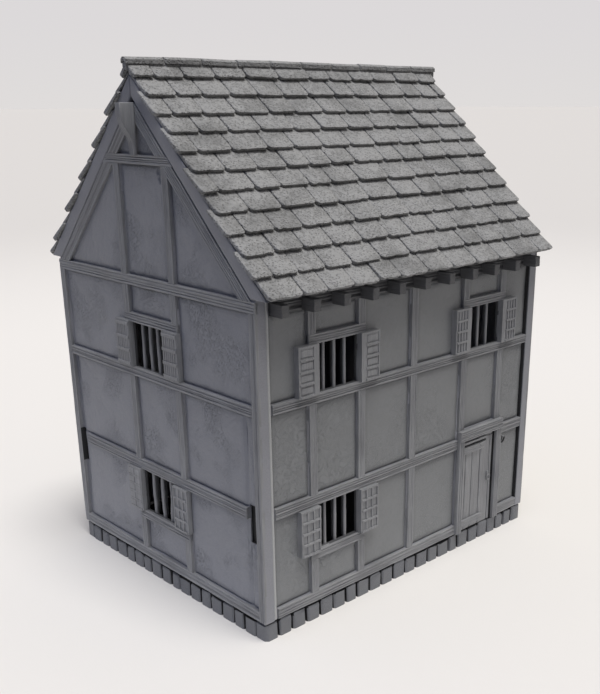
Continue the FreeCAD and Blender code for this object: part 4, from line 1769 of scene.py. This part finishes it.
# ---------------------------------------------------------------- roof
@dataclass
class RoofSlab:
    """The plain slab under the slates of one slope, with soft arrises at its verges."""
    shell: Shell
    side: Side
    verge: float = 0.5
    seam: float = 0.25  # half the open seam between the two slabs at the ridge

    def build(self) -> None:
        """Round the slab's verges and open the seam along the ridge."""
        node = f"{self.side.title}_roof_slab"
        piece = carved_copy(node, TO_METRES)
        end = self.shell.half_length - TOUCH
        with editing(piece):
            hand = 1.0 if self.side is Side.BACK else -1.0
            push(piece, lambda p: abs(p.y) < TOUCH, (0.0, hand * self.seam, 0.0))
        soften(piece, lambda a, b: abs(a.x) > end and abs(b.x) > end and a.x * b.x > 0,
               self.verge, 3)
        hand_over(join([Finish.SLAB.on(piece)], f"{node}_eased"), TO_METRES, node, angle=40.0)


class SlateCut(Enum):
    """How a slate's lower edge has fared: how deep it is broken, and how often."""
    PLAIN = (0.0, 0.0)
    WORN = (0.25, 0.6)
    RAGGED = (0.7, 0.7)
    NICKED = (1.1, 0.25)


@dataclass
class Slates:
    """The slates of one slope, laid course by course in half bond. In millimetres."""
    shell: Shell
    side: Side
    seed: int
    courses: int = 12
    exposure: float = 7.03
    shrink: float = 0.28  # how much closer each course lies above the sixth
    first_foot: float = -0.95  # foot of the first course, up the slope from the slab's foot
    tip: float = 2.5  # upper edge of a slate's tip over the slab
    thickness: float = 1.25
    length: float = 10.2
    mean_width: float = 10.9
    joint: float = 0.3
    corner: float = 1.35
    lip: float = 0.36
    undercut: float = 0.55  # how far the foot of a tip lies behind its lip
    crest: float = 78.2  # where the slope meets the other one
    left_reach: Point = (-0.1, 1.1)
    right_reach: Point = (-0.5, 0.3)

    def _pattern(self, cut: SlateCut, rng: random.Random) -> Piece:
        """Cut one slate, with its tip at the origin and its face up.

        Args:
            cut: How its lower edge has fared.
            rng: Where it is broken.

        Returns:
            The slate.
        """
        half = self.mean_width / 2
        piece = block((self.mean_width, self.length, self.thickness),
                      (0.0, self.length / 2, -self.thickness / 2))
        soften(piece, lambda a, b: max(a.y, b.y) < TOUCH and abs(a.x - b.x) < TOUCH,
               self.corner, 3)
        deep, often = cut.value
        with editing(piece, "EDGE"):
            pick_edges(piece, lambda a, b: max(a.y, b.y) < TOUCH and abs(a.x - b.x) > 1.0)
            bpy.ops.mesh.subdivide(number_cuts=5 if deep else 1)
            places = sorted({round(v.co.x, 3) for v in bmesh.from_edit_mesh(piece.data).verts
                             if v.co.y < TOUCH and abs(v.co.x) < half - self.corner - TOUCH})
            for place in places:
                if rng.random() < often:
                    push(piece, lambda p: p.y < 1.5 and abs(p.x - place) < 0.01,
                         (rng.uniform(-0.15, 0.15), rng.uniform(0.3, 1.0) * deep, 0.0))
            push(piece, lambda p: p.y < self.corner and p.z < -self.thickness + TOUCH,
                 (0.0, self.undercut, 0.0))
            # the head is thinned so that the next course lies over it
            push(piece, lambda p: p.y > self.length - TOUCH and p.z < -TOUCH,
                 (0.0, 0.0, self.thickness * 0.5))
        soften(piece, lambda a, b: min(a.z, b.z) > -TOUCH
               and (max(a.y, b.y) < self.length - TOUCH
                    or abs(abs(a.x) - half) < TOUCH and abs(abs(b.x) - half) < TOUCH), self.lip)
        return piece

    def _patterns(self, rng: random.Random) -> list[Piece]:
        """Every pattern of slate that the slope uses, the commonest one first."""
        return [self._pattern(cut, rng) for cut in
                (SlateCut.PLAIN, SlateCut.PLAIN, SlateCut.WORN, SlateCut.WORN, SlateCut.WORN,
                 SlateCut.RAGGED, SlateCut.NICKED)]

    def bench(self) -> Matrix:
        """Where the slope's bench stands: X along the eaves, Y up the slope, Z out.

        Returns:
            The way from the bench to the house.
        """
        low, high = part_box("front_roof_slab")
        turn = rotation(self.side.value, "Z")
        pitch = math.atan2(high.z - low.z, high.y - low.y)
        return (turn @ Matrix.Translation((0.0, low.y, low.z))
                @ Matrix.Rotation(pitch, 4, "X") @ TO_METRES)

    def _widths(self, total: float, course: int, rng: random.Random) -> list[float]:
        """Widths of the slates of one course.

        Args:
            total: Length of the course.
            course: Its number, which sets the bond.
            rng: Makes each slate its own.

        Returns:
            The widths, from left to right.
        """
        widths = [self.mean_width * (0.58 if course % 2 else 1.0) * rng.uniform(0.9, 1.1)]
        while sum(widths) < total:
            widths.append(self.mean_width * rng.choice((0.8, 0.92, 1.0, 1.06, 1.16)))
        widths[-1] -= sum(widths) - total
        if widths[-1] < 3.5:
            widths[-2:] = [sum(widths[-2:])]
        return widths

    def build(self) -> None:
        """Lay the slates."""
        node = f"{self.side.title}_slates"
        rng = random.Random(self.seed)
        patterns = self._patterns(rng)
        lean = math.atan2(self.thickness, self.exposure)
        half = self.shell.half_length
        made = []
        for course in range(self.courses):
            foot = (self.first_foot + self.exposure * course
                    - self.shrink * max(0, course - 6))
            is_top = course == self.courses - 1
            # the left of the back slope is at the right end of its bench
            ends = [-half - self.left_reach[course % 2] - rng.uniform(-0.25, 0.35),
                    half + rng.uniform(*self.right_reach)]
            if self.side is Side.BACK:
                ends = [-ends[1], -ends[0]]
            left = ends[0]
            for width in self._widths(ends[1] - ends[0], course, rng):
                slate = copy_of(rng.choices(patterns, weights=(5, 5, 4, 4, 3, 1.6, 1.2))[0])
                flip = rng.choice((-1.0, 1.0))
                place = Matrix.Translation((left + width / 2, foot + rng.uniform(-0.22, 0.22),
                                            self.tip - rng.uniform(0.0, 0.3)))
                place @= rotation(rng.uniform(-1.1, 1.1), "Z")
                place @= rotation(rng.uniform(-1.3, 1.3), "Y")
                place @= Matrix.Rotation(-lean * (0.3 if is_top else 1.0), 4, "X")
                wide = (width - self.joint) / self.mean_width
                set_down(slate, place @ Matrix.Diagonal((flip * wide, 1.0, 1.0, 1.0)))
                if flip < 0:
                    slate.data.flip_normals()
                if is_top:
                    trim(slate, [(self.crest * UP, UP - OUT)])
                made.append(slate)
                left += width
        scrap(*patterns)
        slope = Finish.SLATE.on(join(made, f"{node}_laid"))
        hand_over(slope, self.bench(), node, angle=50.0)


@dataclass
class RidgeTiles:
    """The round-backed tiles along the ridge. Sizes in millimetres."""
    shell: Shell
    count: int = 10
    joint: float = 0.3
    half_width: float = 1.4
    thickness: float = 1.1
    fall: float = 0.7  # drop of each wing, per unit of its width
    crown: float = 0.9  # radius of the rounding along the top

    def _pattern(self, length: float, half: float) -> Piece:
        """Shape one tile, its crown at the origin.

        Args:
            length: Its length along the ridge.
            half: Half its width.

        Returns:
            The tile.
        """
        piece = block((length, 2 * half, self.thickness), (0.0, 0.0, -self.thickness / 2))
        with editing(piece, "EDGE"):
            slice_at(0.0 * UP, UP)
            push(piece, lambda p: abs(p.y) > half - TOUCH, (0.0, 0.0, -self.fall * half))
        soften(piece, lambda a, b: abs(a.y) > half - TOUCH and abs(b.y) > half - TOUCH
               and abs(a.x - b.x) < TOUCH, 0.5, 3)
        soften(piece, lambda a, b: abs(a.y) < TOUCH and abs(b.y) < TOUCH
               and min(a.z, b.z) > -TOUCH, self.crown, 3)
        soften(piece, lambda a, b: min(a.z, b.z) > -self.fall * half - TOUCH
               and all(abs(p.x) > length / 2 - 1.0 or abs(p.y) > half - 1.0 for p in (a, b))
               and not abs(a.x - b.x) > length * 0.9 * (abs(a.y) < half - 0.5), 0.24)
        return piece

    def build(self) -> None:
        """Bed the tiles along the ridge."""
        rng = random.Random("ridge tiles")
        low, high = (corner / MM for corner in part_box("ridge_tiles"))
        pitch = (high.x - low.x) / self.count
        pattern = self._pattern(pitch - self.joint, self.half_width)
        rise = max(v.co.z for v in pattern.data.vertices)
        made = []
        for number in range(self.count):
            made.append(set_down(copy_of(pattern), Matrix.Translation(
                (low.x + pitch * (number + 0.5), 0.0, high.z - rise - rng.uniform(0.1, 0.3)))
                @ rotation(rng.uniform(-0.8, 0.8), "Y")
                @ rotation(rng.uniform(-1.5, 1.5), "X")))
        scrap(pattern)
        # the bedding closes what is open between the tiles and the last courses
        bed = block((high.x - low.x - 1.0, 1.7, 2.4),
                    ((low.x + high.x) / 2, 0.0, low.z + 1.25))
        soften(bed, lambda a, b: min(a.z, b.z) > low.z + 1.5, 0.5)
        ridge = Finish.SLATE.on(join([*made, bed], "ridge_tiles_bedded"))
        hand_over(ridge, TO_METRES, "ridge_tiles", angle=50.0)


# ---------------------------------------------------------------- studio
@dataclass(frozen=True)
class Studio:
    """A pale floor under plain soft light, with the camera at the house's front left."""
    paper: str = "#e6e2dc"
    paper_far: str = "#d4d0cb"
    paper_fade: Point = (0.3, 1.0)  # where the paper turns into the dimmer backdrop, in m
    bounce: str = "#fdfcfb"  # how the lit paper shines on the house
    # dark bench top past the lit paper; also the painted shade under the house
    bench_top: str = "#38393c"
    lit_reach: Point = (0.1, 0.27)  # where the lit paper fades, from the house's middle, in m
    card: Point = (0.0585, 0.047)  # half sizes of the dark patch of paper under the house, inside its plinth: painted shade
    sky_light: float = 0.56
    sky_low: str = "#dfdcdb"
    sky_high: str = "#dcd9da"
    left_tint: str = "#9db8fc"
    front_tint: str = "#f8f1e6"
    key_strength: float = 2.6
    key_spread: float = 28.0  # degrees across, as of a large lamp near by
    key_tilt: Point = (14.0, -2.0)
    lens: float = 47.843
    shift: Point = (-0.0602, 0.1196)
    eye: Place = (-0.20825, -0.23383, 0.14847)
    azimuth: float = -44.04
    down: float = 19.52
    roll: float = -0.2

    def floor(self) -> None:
        """A sheet of pale paper. Light from it is strong only near the house."""
        clear_selection()
        bpy.ops.mesh.primitive_plane_add(size=60.0)
        floor = bpy.context.object
        floor.name = "paper_floor"
        with editing(floor, "FACE"):
            pick_all()
            extrude((0.0, 0.0, -0.002))
            pick_all()
            bpy.ops.mesh.normals_make_consistent(inside=False)
        # matt paper: no gloss, a fibre texture too fine to see
        paper = bpy.data.materials.new("matt_paper")
        add = empty_tree(paper)
        place = add("TexCoord").outputs["Object"]
        # past the lit paper a dark bench top takes the light; the view is pale all over
        way = add("VectorMath", {0: place}, operation="LENGTH").outputs["Value"]
        fade, dimming = (add("MapRange", {"Value": way, "From Min": near, "From Max": far},
                             interpolation_type="SMOOTHSTEP")
                         for near, far in (self.lit_reach, self.paper_fade))
        unseen = add("Math", {0: 1.0, 1: self.seen(add)}, operation="SUBTRACT")
        bench = add("Math", {0: fade, 1: unseen}, operation="MULTIPLY")
        # painted shade: the paper under the house, inside its plinth, is drawn dark, so that the
        # windows look black inside
        size = add("VectorMath", {0: place, 1: (*self.card, 1.0)}, operation="DIVIDE")
        shares = add("SeparateXYZ", {"Vector": size}).outputs
        ways = [add("Math", {0: shares[axis]}, operation="ABSOLUTE") for axis in "XY"]
        most = add("Math", dict(enumerate(ways)), operation="MAXIMUM")
        inside = add("Math", {0: most, 1: 1.0}, operation="LESS_THAN")
        dark = add("Math", {0: bench, 1: inside}, operation="MAXIMUM")
        view = add("MixRGB", {"Fac": dimming, "Color1": linear(self.paper),
                              "Color2": linear(self.paper_far)})
        lit = add("MixRGB", {"Fac": unseen, "Color1": view, "Color2": linear(self.bounce)})
        colour = add("MixRGB", {"Fac": dark, "Color1": lit, "Color2": linear(self.bench_top)})
        fibre = add("TexNoise", {"Vector": place, "Scale": per_metre(0.8), "Detail": 2.0})
        bump = add("Bump", {"Height": fibre, "Distance": 0.02 * MM})
        shader = add("BsdfPrincipled", {"Base Color": colour, "Roughness": 0.9, "IOR": 1.45,
                                        "Normal": bump})
        add("OutputMaterial", {"Surface": shader})
        floor.data.materials.append(paper)

    @staticmethod
    def seen(add: Callable[..., Node]) -> Node:
        """Whether a ray shows the backdrop: from the camera, in a gloss, or through glass.

        Args:
            add: Adds a node to the tree.

        Returns:
            The node, 1 where the backdrop shows.
        """
        ray = add("LightPath").outputs
        shown = ray["Is Camera Ray"]
        for other in ("Is Glossy Ray", "Is Transmission Ray"):
            shown = add("Math", {0: shown, 1: ray[other]}, operation="MAXIMUM")
        return shown

    def sky(self) -> None:
        """Light mostly from above, cooler from the left, and a pale backdrop to look at."""
        world = bpy.data.worlds.new("studio")
        bpy.context.scene.world = world
        add = empty_tree(world)
        way = add("TexCoord").outputs["Generated"]
        parts = add("SeparateXYZ", {"Vector": way}).outputs
        rise = add("MapRange", {"Value": parts["Z"], "From Max": 0.08})
        fade = add("ValToRGB", {"Fac": rise})
        low, high = fade.color_ramp.elements
        low.color, high.color = linear(self.sky_low), linear(self.sky_high)
        backdrop = add("Background", {"Color": fade})
        across = add("MapRange", {"Value": parts["X"], "From Min": -0.8, "From Max": 0.2})
        tint = add("MixRGB", {"Fac": across, "Color1": linear(self.left_tint),
                              "Color2": linear(self.front_tint)})
        height = add("MapRange", {"Value": parts["Z"], "From Max": 0.9,
                                  "To Min": 0.12 * self.sky_light, "To Max": self.sky_light})
        light = add("Background", {"Color": tint, "Strength": height})
        both = add("MixShader", {0: self.seen(add), 1: light, 2: backdrop})
        add("OutputWorld", {"Surface": both})

    def lamp(self) -> None:
        """One wide lamp, high over the house and a little in front of it."""
        lamp = bpy.data.lights.new("key", "SUN")
        lamp.energy = self.key_strength
        lamp.angle = math.radians(self.key_spread)
        key = bpy.data.objects.new("key", lamp)
        forward, sideways = self.key_tilt
        key.rotation_euler = (math.radians(forward), math.radians(sideways), 0.0)
        bpy.context.scene.collection.objects.link(key)

    def camera(self) -> None:
        """The camera, level with the upper storey and looking down at the near corner."""
        lens = bpy.data.cameras.new("camera")
        lens.lens = self.lens
        lens.sensor_width = 36.0
        lens.shift_x, lens.shift_y = self.shift
        lens.clip_start, lens.clip_end = 0.01, 100.0
        camera = bpy.data.objects.new("camera", lens)
        aim = rotation(self.azimuth, "Z") @ rotation(90.0 - self.down, "X")
        camera.matrix_world = Matrix.Translation(self.eye) @ aim @ rotation(self.roll, "Z")
        bpy.context.scene.collection.objects.link(camera)
        bpy.context.scene.camera = camera

    def build(self) -> None:
        """Set up floor, light and camera."""
        self.floor()
        self.sky()
        self.lamp()
        self.camera()
        bpy.context.scene.view_settings.view_transform = "Standard"


# ---------------------------------------------------------------- the whole house
@dataclass
class TownHouse:
    """The house, assembled from its parts in the order a kit is built."""
    shell: Shell

    def walls(self) -> list[Wall]:
        """The four walls, front first."""
        return [LongWall(self.shell, Side.FRONT, "front_wall", 0.2, Finish.FLOATED,
                         has_door=True),
                LongWall(self.shell, Side.BACK, "back_wall", 0.2, Finish.FLOATED,
                         inner_sills={2: 4.2}),
                GableWall(self.shell, Side.LEFT, "left_gable_wall"),
                GableWall(self.shell, Side.RIGHT, "right_gable_wall")]

    def shutters(self, walls: Sequence[Wall]) -> list[ShutterPair]:
        """The shutters of every window.

        Args:
            walls: The four walls, front first.

        Returns:
            The pairs.
        """
        kind = ShutterKind
        names = ("upper_left", "lower_left", "upper_right", "lower_right")
        kinds = (kind.PANELLED, kind.LATTICE, kind.RIBBED, kind.LATTICE)
        pairs = [ShutterPair(wall, window, f"{wall.side.title}_{name}_shutters", cut, cut)
                 for wall in walls[:2] for window, name, cut in zip(wall.windows(), names, kinds)]
        thin = {"width": 7.4, "proud": 0.7, "gaps": (-0.1, 1.3)}
        for wall in walls[2:]:
            kinds = ((kind.BATTENED, kind.BATTENED), (kind.STACKED, kind.LATTICE))
            pairs += [ShutterPair(wall, window, f"{wall.side.title}_gable_{name}_shutters",
                                  *cuts, **thin)
                      for window, name, cuts in zip(wall.windows(), ("upper", "lower"), kinds)]
        return pairs

    def build(self) -> None:
        """Build the house, part by part."""
        for side, stones in ((Side.FRONT, 23), (Side.BACK, 23), (Side.LEFT, 17),
                             (Side.RIGHT, 17)):
            PlinthCourse(self.shell, side, stones).build()
        walls = self.walls()
        front, back, *gables = walls
        parts = [*walls, WindowBars(front, BarKind.TURNED, shifted={2: (0.16, 0.41, 0.68)}),
                 WindowBars(back, BarKind.TURNED, shifted={2: (0.18, 0.37, 0.7)})]
        parts += [WindowBars(gable, BarKind.GNARLED,
                             shifted={0: (0.24, 0.5, 0.75), 1: (0.26, 0.54, 0.8)})
                  for gable in gables]
        parts += self.shutters(walls)
        parts += [DoorFrame(front), PlankDoor(front), JoistEnds(front), JoistEnds(back)]
        parts += [KneeBracket(self.shell, side) for side in (Side.LEFT, Side.RIGHT)]
        parts += [RoofSlab(self.shell, side) for side in (Side.FRONT, Side.BACK)]
        parts += [Slates(self.shell, Side.FRONT, seed=11), Slates(self.shell, Side.BACK, seed=29),
                  RidgeTiles(self.shell)]
        for part in parts:
            part.build()


def main() -> None:
    """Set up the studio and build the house."""
    logging.basicConfig(level=logging.INFO, format="%(name)s: %(message)s")
    Studio().build()
    TownHouse(Shell.measured()).build()
    clear_selection()


if __name__ == "__main__":
    main()
